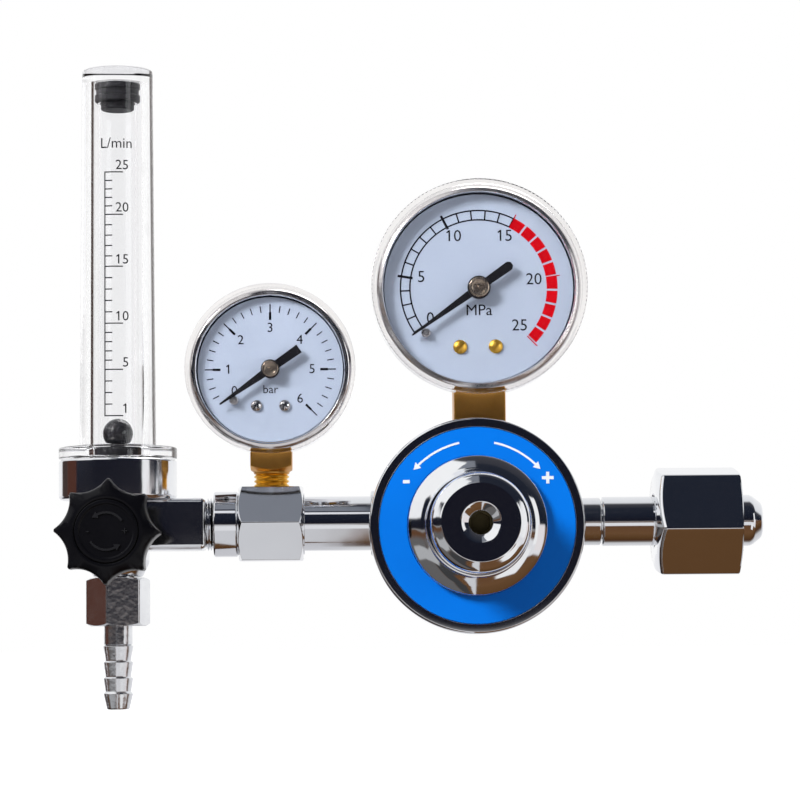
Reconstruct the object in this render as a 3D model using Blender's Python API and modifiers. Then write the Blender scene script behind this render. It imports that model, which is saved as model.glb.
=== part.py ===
"""Argon regulator with flowmeter, at its real size.

Run with:  blender --background --python part.py

The gas path lies along X.  The origin is the centre of the inlet nipple's tip, +Z is up and the
gauges face -Y.  From right to left come the cylinder nut and nipple, the pressure regulator with
its contents gauge, the tee with the working gauge, and the valve body with the flow tube on top and
the hose barb below.

Sizes are in millimetres and named here once.  Every place that follows from a size is worked out
from it.  Turned pieces are profiles of (radius, height) swept by a Screw modifier.
"""
import math
from dataclasses import dataclass

import bmesh
import bpy
from mathutils import Vector

MM = 0.001

# Clearances
GAP = 0.3                 # between two pieces that touch
RUN = 0.35                # on the radius, around a shaft or a thread

# Facets around a turned piece
SEGMENTS_LARGE = 32
SEGMENTS_GAUGE = 28
SEGMENTS_MEDIUM = 24
SEGMENTS_BODY = 20
SEGMENTS_SMALL = 16
SEGMENTS_TUBE = 14
SEGMENTS_INNER = 12
SEGMENTS_CORNER = 18         # lathe chamfer on a hexagon
SEGMENTS_TINY = 8
SEGMENTS_PIN = 6

# Gas path and stations along X
GAS_BORE_R = 2.5
NIPPLE_R = 7.65
NIPPLE_TIP_R = 5.0
NIPPLE_TIP_LEN = 3.4
NIPPLE_REACH = 7.0        # nipple beyond the nut
NIPPLE_COLLAR_R = 9.9
NIPPLE_COLLAR_LEN = 4.0
NIPPLE_THREAD_R = 5.0
NIPPLE_THREAD_LEN = 9.6
NIPPLE_LEN = 48.4         # tip to shoulder
NUT_AF = 30.0
NUT_LEN = 25.4
NUT_LIP = 6.0
NUT_THREAD_R = 10.5
NUT_TURN = -20.0          # degrees about X
FILTER_LEN = 2.0

# Regulator body and bonnet; depths are measured from the gas path towards the front
BODY_TO_SHOULDER = 37.6   # body axis to the nipple's shoulder
BODY_DROP = 1.6           # body axis below the gas path
BODY_R = 29.5
BODY_REAR = 15.5
BODY_REAR_CHAMFER = 3.0
BODY_SEAT = 15.0          # clamping face of the diaphragm
INLET_BOSS_R = 7.1
SIDE_BOSS_R = 9.8
SIDE_BOSS_LEN = 1.6       # beyond the body's side
LOW_CHAMBER_R = 16.0
LOW_CHAMBER_DEPTH = 14.0
VALVE_BORE_R = 6.8
VALVE_BORE_END = 1.0      # behind the gas path
NOZZLE_BORE_R = 4.0
BONNET_R = 31.75
BONNET_SKIRT = 5.4        # skirt over the body's thread
BONNET_WALL = 2.6
BONNET_EDGE = 2.6         # rounding of the front edge
LABEL_FLOOR = 19.3        # depth of the label's recess
LABEL_RIM_W = 2.65         # bonnet's rim outside the label
LABEL_HUB_R = 20.3
LABEL_T = 0.5
DOME_TOP_R = 15.4
DOME_H = 6.1
NECK_RING_H = 2.4
NECK_FOOT_R = 14.5
NOSE_SHOULDER_R = 14.3
NOSE_SHOULDER = 1.9       # behind the nose's front
NOSE_R = 11.7
NOSE_FRONT = 44.2
NOSE_CHAMFER_R = 5.75
NOSE_CHAMFER = 1.6
KEY_HOLE_R = 3.35
KEY_HOLE_LEN = 4.6
SPRING_ROOM_R = 10.0
SPRING_ROOM_FRONT = 33.0
SCREW_BORE_R = 7.6
SCREW_LEN = 5.5
SCREW_SOCKET_R = 3.2
SCREW_SOCKET_DEPTH = 4.0
BUTTON_R = 9.3
BUTTON_T = 1.8
BUTTON_PIP_R = 3.0
BUTTON_PIP_LEN = 0.8
MAIN_SPRING_R = 8.2       # to the middle of the wire
MAIN_SPRING_WIRE = 1.8
MAIN_SPRING_TURNS = 4.0
DIAPHRAGM_T = 1.0
PLATE_R = 9.3
PLATE_T = 1.6
NOZZLE_HOLE_R = 1.7
POPPET_R = 3.6
POPPET_T = 2.0
POPPET_PIN_R = 1.0
POPPET_TAIL_R = 1.5
POPPET_TAIL_LEN = 3.0
POPPET_SPRING_R = 2.6
POPPET_SPRING_WIRE = 0.8
POPPET_SPRING_TURNS = 3.0
PLUG_AF = 19.0
PLUG_HEAD = 5.0
PLUG_SHANK_LEN = 6.0
PLUG_POCKET_R = 3.8
PLUG_POCKET_DEPTH = 3.4

# Tee under the working gauge
TEE_SHANK_R = 8.1
TEE_SHANK_LEN = 26.6      # hex to the end inside the body
TEE_HEX_AF = 22.0
TEE_HEX_LEN = 19.2
TEE_COLLAR_R = 9.75
TEE_COLLAR_LEN = 7.5
TEE_SOCKET_R = 6.6
TEE_SOCKET_DEPTH = 8.4
TEE_SHANK_FROM_AXIS = 24.6   # regulator axis to the shank's inner end

# Valve body under the flow tube
ARM_W = 15.4
ARM_LEN = 26.6            # tube axis to the arm's end
ARM_BEVEL = 1.2
ARM_NECK_R = 7.9
ARM_NECK_LEN = 2.0
ARM_THREAD_R = 6.3
ARM_THREAD_LEN = 7.8
TRUNK_R = 9.4
TRUNK_LEN = 11.2          # below the gas path
TRUNK_FOOT_R = 7.3
TRUNK_FOOT_LEN = 4.2
STUB_R = 6.2
STUB_LEN = 8.6
OUTLET_BORE_R = 2.6
CUP_R = 17.6
CUP_FLOOR = 10.4          # height of the recess's floor
CUP_BOTTOM = 7.5
CUP_TOP = 19.3
CUP_EDGE = 0.6
VALVE_DROP = 3.3          # valve axis below the gas path
VALVE_BOSS_R = 7.7
VALVE_BOSS_LEN = 17.0
VALVE_BORE = 4.6
GLAND_AF = 14.0
GLAND_HEAD = 4.2
GLAND_THREAD_R = 4.2
GLAND_THREAD_LEN = 5.0
PACKING_LEN = 2.6
STEM_R = 2.4
STEM_TIP = 1.2            # radius of the needle's end
STEM_CONE = 3.0
STEM_FRONT = 39.5

# Flow tube
SPIGOT_R = 13.0
SPIGOT_BOTTOM = 12.7
FLANGE_R = 17.65
FLANGE_BOTTOM = 19.8
FLANGE_TOP = 23.1
COVER_FOOT_R = 11.4
COVER_TOP_R = 10.6
COVER_TOP = 137.1
COVER_ROOF = 3.9
COVER_BORE_R = 7.5
GASKET_INNER_R = 8.5
SEAT_R = 7.0
SEAT_TOP = 23.0
SEAT_HOLE_R = 2.06
TUBE_R = 6.0
TUBE_TOP = 126.9
TUBE_BORE_FOOT_R = 4.85
TUBE_BORE_TOP_R = 5.4
TOP_PLUG_R = 6.8
TOP_PLUG_SPIGOT_R = 5.0
TOP_PLUG_SPIGOT_LEN = 2.3
BALL_R = 4.5

# Control knob; depths are measured from the gas path towards the front
KNOB_BACK = 34.0
KNOB_FRONT = 46.0
KNOB_TIP_R = 15.2
KNOB_VALLEY_R = 12.5
KNOB_LOBES = 8
KNOB_EDGE = 1.4
KNOB_HUB_R = 9.0
KNOB_HUB_BACK = 23.2
KNOB_CAP_R = 9.0
KNOB_CAP_T = 0.9
KNOB_SCREW_HEAD_R = 3.0
KNOB_SCREW_HEAD_H = 2.0
KNOB_TURN = -1.5          # degrees

# Outlet nut and hose barb; heights are measured down from the gas path
OUTLET_NUT_AF = 17.0
OUTLET_NUT_LEN = 14.3
OUTLET_NUT_LIP = 2.6
OUTLET_NUT_TURN = 14.6    # degrees
BARB_NECK_R = 4.25
BARB_COLLAR_R = 5.9
BARB_NECK_LEN = 5.4       # below the nut
BARB_RIDGES = 3
BARB_PITCH = 4.75
BARB_RIDGE_R = 4.45
BARB_ROOT_R = 3.85
BARB_END_LEN = 5.1
BARB_END_R = 3.35
BARB_BORE_R = 2.2
BARB_GASKET_T = 0.9

# Gauges: what both share
WORKING_STEM_LIFT = 4.9        # stem's foot above the tee's hexagon
CONTENTS_STEM_LIFT = 1.9        # stem's foot above the body's boss
DIAL_FEWER = 4            # facets that the dial does without
BOURDON_W = 5.4
BOURDON_T = 1.6
BOURDON_END_DEG = 188.0
TONGUE_INSET = 0.5
LINK_W = 1.6
LINK_T = 1.5
GAUGE_PLATE_GAP = 1.3     # back plate of the movement in front of the socket's axis
GAUGE_PLATE_T = 0.8
GAUGE_FRONT_PLATE = 6.4
GAUGE_FRONT_PLATE_T = 1.2
DIAL_T = 0.6
COVER_SKIRT = 8.0         # depth of the clear cover's side
COVER_T = 1.6
POINTER_LIFT = 1.9        # pointer's underside above the dial
POINTER_T = 0.5
STOP_PIN_R = 0.5
ARBOR_R = 0.8
ARBOR_HOLE_R = 1.15
PINION_FIT = 0.25         # pinion around the arbor
POST_R = 0.9              # posts between the movement's plates
POST_SINK = 0.4
POST_TOP_Y = 4.6
POST_LOW_X = 4.2
GEAR_BACK = 2.8
GEAR_T = 1.6
PINION_TEETH = 8
SECTOR_TEETH_FULL = 48    # as if the sector were a whole wheel
SECTOR_TEETH = 8
GEAR_MODULE = 0.5
SECTOR_REST_TOOTH = 2.5    # tooth in mesh at rest, counted from the sector's middle
SECTOR_HUB_R = 1.95
TOOTH_SHARE = 0.30        # half a tooth's root, as a share of the pitch
SECTOR_PIVOT_DEG = 250.0  # where the sector's pivot lies, seen from the arbor
SECTOR_TAIL_LEN = 6.0
SECTOR_TAIL_DEG = 165.0
SECTOR_HUB_ANGLES = (100.0, 200.0, 250.0)   # outline points of the sector's hub

COLOURS = {
    "chrome": ((0.62, 0.63, 0.66), 0.12, 1.0),
    "brass": ((0.72, 0.47, 0.12), 0.25, 1.0),
    "steel": ((0.55, 0.56, 0.58), 0.3, 1.0),
    "case": ((0.70, 0.70, 0.72), 0.22, 1.0),
    "dial": ((0.56, 0.66, 0.82), 0.35, 0.0),
    "clear": ((0.90, 0.93, 0.95), 0.05, 0.0),
    "black": ((0.015, 0.015, 0.017), 0.35, 0.0),
    "rubber": ((0.03, 0.03, 0.03), 0.7, 0.0),
    "label": ((0.0, 0.16, 0.62), 0.4, 0.0),
}

for old in list(bpy.data.objects):
    bpy.data.objects.remove(old, do_unlink=True)

PARTS = bpy.data.collections.new("argon_regulator")
CUTTERS = bpy.data.collections.new("cutters")
bpy.context.scene.collection.children.link(PARTS)
bpy.context.scene.collection.children.link(CUTTERS)


# Frames
def frame(name, at, turn=(0.0, 0.0, 0.0)):
    """An empty that carries one sub-assembly: `at` in mm, `turn` in degrees."""
    empty = bpy.data.objects.new(name, None)
    empty.empty_display_size = 0.01
    empty.location = Vector(at) * MM
    empty.rotation_euler = [math.radians(a) for a in turn]
    PARTS.objects.link(empty)
    return empty


FACING_FRONT = (90.0, 0.0, 0.0)      # local Z points to -Y, local Y up
ALONG_X = (0.0, 90.0, 0.0)           # local Z points to +X

SHOULDER_X = -NIPPLE_LEN
BODY_X = SHOULDER_X - BODY_TO_SHOULDER
TEE_X = BODY_X - TEE_SHANK_FROM_AXIS - TEE_SHANK_LEN      # right face of the hex
TEE_LEFT = TEE_X - TEE_HEX_LEN - TEE_COLLAR_LEN
FLOW_X = TEE_LEFT - ARM_NECK_LEN - ARM_LEN
WORKING_X = TEE_X - TEE_HEX_LEN / 2 + 0.2
CONTENTS_X = BODY_X + 1.6

PIPE = frame("gas_path", (0, 0, 0), ALONG_X)
REG = frame("regulator_axis", (BODY_X, 0, -BODY_DROP), FACING_FRONT)
FLOW = frame("flow_axis", (FLOW_X, 0, 0))
VALVE = frame("valve_axis", (FLOW_X, 0, -VALVE_DROP), FACING_FRONT)


# Making and joining solids
def material(name, kind):
    """One Principled material for one piece."""
    colour, roughness, metallic = COLOURS[kind]
    made = bpy.data.materials.new(name)
    made.use_nodes = True
    shader = made.node_tree.nodes["Principled BSDF"]
    shader.inputs["Base Color"].default_value = (*colour, 1.0)
    shader.inputs["Roughness"].default_value = roughness
    shader.inputs["Metallic"].default_value = metallic
    if kind == "clear":
        shader.inputs["Transmission Weight"].default_value = 1.0
    return made


def place(mesh, name, parent, at=(0, 0, 0), turn=0.0, kind=None):
    """Link a mesh as a piece (with a finish) or as a cutter (without one)."""
    obj = bpy.data.objects.new(name, mesh)
    obj.parent = parent
    obj.location = Vector(at) * MM
    obj.rotation_euler = (0.0, 0.0, math.radians(turn))
    if kind:
        mesh.materials.append(material(name, kind))
        PARTS.objects.link(obj)
    else:
        obj.hide_render = True
        obj.display_type = "WIRE"
        CUTTERS.objects.link(obj)
    return obj


def turned(name, profile, parent, steps, kind=None, at=(0, 0, 0), turn=0.0, ring=False):
    """A turned solid: the profile runs down the outer side, and up the bore when it is a ring."""
    mesh = bpy.data.meshes.new(name)
    points = [(r * MM, 0.0, z * MM) for r, z in profile]
    edges = [(i, i + 1) for i in range(len(points) - 1)]
    if ring:
        edges.append((len(points) - 1, 0))
    mesh.from_pydata(points, edges, [])
    obj = place(mesh, name, parent, at, turn, kind)
    screw = obj.modifiers.new("sweep", "SCREW")
    screw.axis = "Z"
    screw.angle = 2 * math.pi
    screw.steps = screw.render_steps = steps
    screw.use_merge_vertices = True
    screw.merge_threshold = 0.00001
    screw.use_smooth_shade = True
    smooth(obj)
    return obj


def rod(name, radius, low, high, parent, steps, kind=None, at=(0, 0, 0), turn=0.0):
    """A plain cylinder between two heights."""
    return turned(name, [(0, high), (radius, high), (radius, low), (0, low)], parent, steps,
                  kind, at, turn)


def washer(name, outer, inner, low, high, parent, steps, kind):
    """A flat ring between two heights."""
    return turned(name, [(outer, high), (outer, low), (inner, low), (inner, high)], parent,
                  steps, kind, ring=True)


def prism(name, outline, low, high, parent, kind=None, at=(0, 0, 0), turn=0.0):
    """A flat outline, drawn as points, extruded between two heights."""
    mesh = bpy.data.meshes.new(name)
    bm = bmesh.new()
    verts = [bm.verts.new((x * MM, y * MM, low * MM)) for x, y in outline]
    face = bm.faces.new(verts)
    lift = bmesh.ops.extrude_face_region(bm, geom=[face])
    moved = [v for v in lift["geom"] if isinstance(v, bmesh.types.BMVert)]
    bmesh.ops.translate(bm, verts=moved, vec=(0, 0, (high - low) * MM))
    bmesh.ops.recalc_face_normals(bm, faces=bm.faces[:])
    bm.to_mesh(mesh)
    bm.free()
    return place(mesh, name, parent, at, turn, kind)


def circle(radius, count, first=0.0):
    """Points around a circle; the first lies at `first` degrees."""
    turns = (math.radians(first) + 2 * math.pi * i / count for i in range(count))
    return [(radius * math.cos(a), radius * math.sin(a)) for a in turns]


def hexagon(name, flats, low, high, parent, kind=None, at=(0, 0, 0), turn=0.0):
    """A hexagonal bar; with no turn, two of its faces look along local Y."""
    return prism(name, circle(flats / math.sqrt(3), 6), low, high, parent, kind, at, turn)


def block(name, size, parent, kind=None, at=(0, 0, 0), bevel=0.0):
    """A box about `at`, with an optional bevel on its edges."""
    mesh = bpy.data.meshes.new(name)
    bm = bmesh.new()
    bmesh.ops.create_cube(bm, size=1.0)
    bmesh.ops.scale(bm, vec=[s * MM for s in size], verts=bm.verts[:])
    bm.to_mesh(mesh)
    bm.free()
    obj = place(mesh, name, parent, at, 0.0, kind)
    if bevel:
        edge = obj.modifiers.new("edge", "BEVEL")
        edge.width = bevel * MM
        edge.segments = 2
        edge.limit_method = "ANGLE"
    return obj


def combine(target, tool, operation):
    """Cut, join or intersect the target with a tool, with the exact solver."""
    step = target.modifiers.new(tool.name, "BOOLEAN")
    step.operation = operation
    step.solver = "EXACT"
    step.object = tool
    return target


def cut(target, *tools):
    for tool in tools:
        combine(target, tool, "DIFFERENCE")


def join(target, *tools):
    for tool in tools:
        combine(target, tool, "UNION")


def chamfer_hex(obj, flats, low, high, parent, at=(0, 0, 0), ends=("low", "high")):
    """Round a hexagon's corners at its ends, as a lathe does."""
    corner = flats / math.sqrt(3)
    drop = (corner - flats / 2) * 0.58
    edge = flats / 2 - 0.1
    top, top_r = (high, edge) if "high" in ends else (high + 1, corner + 1)
    bottom, bottom_r = (low, edge) if "low" in ends else (low - 1, corner + 1)
    blank = turned(obj.name + "_blank",
                   [(0, top + 0.01), (top_r, top + 0.01), (corner + 0.2, high - drop),
                    (corner + 0.2, low + drop), (bottom_r, bottom - 0.01), (0, bottom - 0.01)],
                   parent, SEGMENTS_CORNER, at=at)
    combine(obj, blank, "INTERSECT")


def coil(name, radius, wire, low, high, turns, parent, kind,
         per_turn=7):
    """A helical spring between two heights, as a curve with closed ends."""
    curve = bpy.data.curves.new(name, "CURVE")
    curve.dimensions = "3D"
    curve.bevel_depth = wire / 2 * MM
    curve.bevel_resolution = 0
    curve.use_fill_caps = True
    curve.render_resolution_u = 0
    spline = curve.splines.new("POLY")
    count = int(turns * per_turn) + 1
    spline.points.add(count - 1)
    start, end = low + wire / 2, high - wire / 2
    for i, point in enumerate(spline.points):
        angle = 2 * math.pi * turns * i / (count - 1)
        height = start + (end - start) * i / (count - 1)
        point.co = (radius * math.cos(angle) * MM, radius * math.sin(angle) * MM, height * MM, 1)
    curve.materials.append(material(name, kind))
    obj = bpy.data.objects.new(name, curve)
    obj.parent = parent
    PARTS.objects.link(obj)
    return obj


def smooth(obj, angle=32.0):
    obj.data.shade_smooth()
    obj.data.set_sharp_from_angle(angle=math.radians(angle))


# Cylinder side
def inlet():
    """Nipple with its union nut, and the filter disc behind it."""
    left, right = -NIPPLE_REACH - NUT_LEN, -NIPPLE_REACH
    collar = left + NUT_LIP + GAP
    turned("inlet_nipple",
           [(NIPPLE_TIP_R, 0), (NIPPLE_R, -NIPPLE_TIP_LEN), (NIPPLE_R, collar + NIPPLE_COLLAR_LEN),
            (NIPPLE_COLLAR_R, collar + NIPPLE_COLLAR_LEN), (NIPPLE_COLLAR_R, collar),
            (NIPPLE_R - GAP, collar), (NIPPLE_R - GAP, SHOULDER_X + GAP),
            (NIPPLE_THREAD_R, SHOULDER_X + GAP), (NIPPLE_THREAD_R, SHOULDER_X - NIPPLE_THREAD_LEN),
            (GAS_BORE_R, SHOULDER_X - NIPPLE_THREAD_LEN), (GAS_BORE_R, 0)],
           PIPE, SEGMENTS_BODY, "chrome", ring=True)
    nut = hexagon("inlet_nut", NUT_AF, left, right, PIPE, "chrome", turn=NUT_TURN)
    chamfer_hex(nut, NUT_AF, left, right, PIPE)
    cut(nut,
        rod("nut_lip_hole", NIPPLE_R + GAP, left - 1, left + NUT_LIP + 1, PIPE, SEGMENTS_BODY),
        rod("nut_thread_bore", NUT_THREAD_R, left + NUT_LIP, right + 1, PIPE, SEGMENTS_BODY))
    end = SHOULDER_X - NIPPLE_THREAD_LEN - GAP
    rod("inlet_filter", NIPPLE_THREAD_R - GAP, end - FILTER_LEN, end, PIPE, SEGMENTS_INNER, "brass")


# Regulator
def regulator():
    """Body, bonnet, diaphragm, springs and the valve behind it."""
    seat = BODY_SEAT
    thread_back = seat - BONNET_SKIRT + GAP * 2
    thread_r = BONNET_R - BONNET_WALL - RUN
    body = turned("reg_body",
                  [(0, seat), (thread_r, seat), (thread_r, thread_back), (BODY_R, thread_back),
                   (BODY_R, BODY_REAR_CHAMFER - BODY_REAR),
                   (BODY_R - BODY_REAR_CHAMFER, -BODY_REAR), (0, -BODY_REAR)],
                  REG, SEGMENTS_LARGE, "chrome")
    shoulder = SHOULDER_X
    reach = BODY_R + SIDE_BOSS_LEN
    join(body,
         rod("inlet_boss", INLET_BOSS_R, BODY_X + BODY_R - 6, shoulder, PIPE, SEGMENTS_TUBE),
         rod("outlet_boss", SIDE_BOSS_R, BODY_X - reach, BODY_X - BODY_R + 6, PIPE, SEGMENTS_SMALL),
         rod("gauge_boss", SIDE_BOSS_R, BODY_R - 6 - BODY_DROP, reach - BODY_DROP,
             frame("gauge_port", (CONTENTS_X, 0, 0)), SEGMENTS_SMALL))
    filter_end = shoulder - NIPPLE_THREAD_LEN - FILTER_LEN - 2 * GAP
    port = frame("gauge_port_bore", (CONTENTS_X, 0, 0))
    cut(body,
        rod("low_chamber", LOW_CHAMBER_R, seat - LOW_CHAMBER_DEPTH, seat + 1, REG, SEGMENTS_INNER),
        rod("valve_bore", VALVE_BORE_R, -BODY_REAR - 1, -VALVE_BORE_END, REG, SEGMENTS_INNER),
        rod("nozzle_bore", NOZZLE_BORE_R, -VALVE_BORE_END - 1, seat - LOW_CHAMBER_DEPTH + 1,
            REG, SEGMENTS_TINY),
        rod("inlet_thread", NIPPLE_THREAD_R + RUN, filter_end, shoulder + 1, PIPE, SEGMENTS_INNER),
        rod("inlet_bore", GAS_BORE_R, BODY_X + VALVE_BORE_R - 2, filter_end + 1, PIPE, SEGMENTS_TINY),
        rod("outlet_thread", TEE_SHANK_R + RUN, BODY_X - reach - 1,
            BODY_X - TEE_SHANK_FROM_AXIS + GAP, PIPE, SEGMENTS_SMALL),
        rod("outlet_bore", GAS_BORE_R, BODY_X - TEE_SHANK_FROM_AXIS - 1,
            BODY_X - LOW_CHAMBER_R + 3, PIPE, SEGMENTS_TINY),
        rod("gauge_thread", CONTENTS.thread_r + RUN, CONTENTS.thread_end - GAP, reach, port,
            SEGMENTS_INNER))

    bonnet_back = thread_back + GAP
    shoulder_z = seat + DIAPHRAGM_T + 2 * GAP
    neck = LABEL_FLOOR + DOME_H
    label_rim_r = BONNET_R - LABEL_RIM_W
    bonnet = turned("bonnet",
                    [(0, NOSE_FRONT), (NOSE_R - 0.7, NOSE_FRONT), (NOSE_R, NOSE_FRONT - 0.7),
                     (NOSE_SHOULDER_R, NOSE_FRONT - NOSE_SHOULDER),
                     (NECK_FOOT_R, neck + NECK_RING_H),
                     (DOME_TOP_R, neck + NECK_RING_H), (DOME_TOP_R, neck),
                     (LABEL_HUB_R - 0.1, LABEL_FLOOR + DOME_H * 0.48),
                     (LABEL_HUB_R, LABEL_FLOOR),
                     (label_rim_r, LABEL_FLOOR), (label_rim_r + 0.3, LABEL_FLOOR + 1.0),
                     (BONNET_R - BONNET_EDGE * 0.35, LABEL_FLOOR + 1.0 - BONNET_EDGE * 0.35),
                     (BONNET_R, LABEL_FLOOR + 1.0 - BONNET_EDGE),
                     (BONNET_R, bonnet_back), (0, bonnet_back)],
                    REG, SEGMENTS_LARGE, "chrome")
    key_back = NOSE_FRONT - KEY_HOLE_LEN
    cut(bonnet,
        rod("skirt_thread", BONNET_R - BONNET_WALL, bonnet_back - 1, shoulder_z, REG, SEGMENTS_LARGE),
        rod("spring_room", SPRING_ROOM_R, shoulder_z - 1, SPRING_ROOM_FRONT, REG, SEGMENTS_INNER),
        rod("screw_bore", SCREW_BORE_R, SPRING_ROOM_FRONT - 1, key_back, REG, SEGMENTS_INNER),
        turned("key_hole",
               [(0, NOSE_FRONT + 1), (NOSE_CHAMFER_R + 1, NOSE_FRONT + 1),
                (NOSE_CHAMFER_R + 1, NOSE_FRONT + 1e-3 + NOSE_CHAMFER / 2.4),
                (KEY_HOLE_R, NOSE_FRONT - NOSE_CHAMFER), (KEY_HOLE_R, key_back - 1),
                (0, key_back - 1)], REG, SEGMENTS_SMALL))
    washer("label_ring", label_rim_r - GAP, LABEL_HUB_R + GAP, LABEL_FLOOR + GAP,
           LABEL_FLOOR + GAP + LABEL_T, REG, SEGMENTS_MEDIUM, "label")

    rod("diaphragm", thread_r - 1, seat + GAP, seat + GAP + DIAPHRAGM_T, REG, SEGMENTS_SMALL, "rubber")
    plate = seat + 2 * GAP + DIAPHRAGM_T
    turned("diaphragm_plate",
           [(0, plate + PLATE_T), (PLATE_R, plate + PLATE_T), (PLATE_R, plate), (0, plate)],
           REG, SEGMENTS_INNER, "steel")
    button = SPRING_ROOM_FRONT - GAP - BUTTON_T
    turned("spring_button",
           [(0, button + BUTTON_T + BUTTON_PIP_LEN),
            (BUTTON_PIP_R, button + BUTTON_T + BUTTON_PIP_LEN),
            (BUTTON_PIP_R, button + BUTTON_T), (BUTTON_R, button + BUTTON_T),
            (BUTTON_R, button), (0, button)], REG, SEGMENTS_TINY, "steel")
    coil("main_spring", MAIN_SPRING_R, MAIN_SPRING_WIRE, plate + PLATE_T + GAP, button - GAP,
         MAIN_SPRING_TURNS, REG, "steel")
    screw_back = button + BUTTON_T + BUTTON_PIP_LEN + GAP
    screw = rod("adjusting_screw", SCREW_BORE_R - RUN, screw_back, screw_back + SCREW_LEN, REG,
                SEGMENTS_SMALL, "steel")
    cut(screw, hexagon("key_socket", SCREW_SOCKET_R * math.sqrt(3),
                       screw_back + SCREW_LEN - SCREW_SOCKET_DEPTH, screw_back + SCREW_LEN + 1,
                       REG))

    nozzle_back = -VALVE_BORE_END - 0.8
    washer("valve_nozzle", NOZZLE_BORE_R - GAP, NOZZLE_HOLE_R, nozzle_back,
           seat - LOW_CHAMBER_DEPTH - 0.1, REG, SEGMENTS_TINY, "brass")
    head = nozzle_back - GAP
    tail = head - POPPET_T
    turned("poppet",
           [(0, seat - 0.1), (POPPET_PIN_R, seat - 0.1), (POPPET_PIN_R, head),
            (POPPET_R, head), (POPPET_R, tail), (POPPET_TAIL_R, tail),
            (POPPET_TAIL_R, tail - POPPET_TAIL_LEN), (0, tail - POPPET_TAIL_LEN)],
           REG, SEGMENTS_TINY, "brass")
    plug_front = -BODY_REAR + PLUG_SHANK_LEN
    plug = hexagon("rear_plug", PLUG_AF, -BODY_REAR - GAP - PLUG_HEAD, -BODY_REAR - GAP, REG,
                   "chrome")
    join(plug, rod("plug_shank", VALVE_BORE_R - RUN, -BODY_REAR - GAP - 1, plug_front, REG,
                   SEGMENTS_INNER))
    cut(plug, rod("plug_pocket", PLUG_POCKET_R, plug_front - PLUG_POCKET_DEPTH, plug_front + 1,
                  REG, SEGMENTS_TINY))
    coil("poppet_spring", POPPET_SPRING_R, POPPET_SPRING_WIRE,
         plug_front - PLUG_POCKET_DEPTH + GAP, tail - GAP, POPPET_SPRING_TURNS, REG, "steel", 5)


# Tee
def tee():
    """Hexagon bar with a collar, a shank and the working gauge's port."""
    bar = hexagon("gauge_tee", TEE_HEX_AF, TEE_X - TEE_HEX_LEN, TEE_X, PIPE, "chrome", turn=30)
    chamfer_hex(bar, TEE_HEX_AF, TEE_X - TEE_HEX_LEN, TEE_X, PIPE)
    end = TEE_X + TEE_SHANK_LEN
    join(bar,
         rod("tee_shank", TEE_SHANK_R, TEE_X - 1, end, PIPE, SEGMENTS_SMALL),
         rod("tee_collar", TEE_COLLAR_R, TEE_LEFT, TEE_X - TEE_HEX_LEN + 1, PIPE, SEGMENTS_BODY))
    port = frame("tee_port", (WORKING_X, 0, 0))
    cut(bar,
        rod("tee_bore", GAS_BORE_R, TEE_LEFT - 1, end + 1, PIPE, SEGMENTS_TINY),
        rod("tee_socket", TEE_SOCKET_R, TEE_LEFT - 1, TEE_LEFT + TEE_SOCKET_DEPTH, PIPE,
            SEGMENTS_SMALL),
        rod("tee_gauge_thread", WORKING.thread_r + RUN, WORKING.thread_end - GAP, TEE_HEX_AF, port,
            SEGMENTS_INNER))


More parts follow.
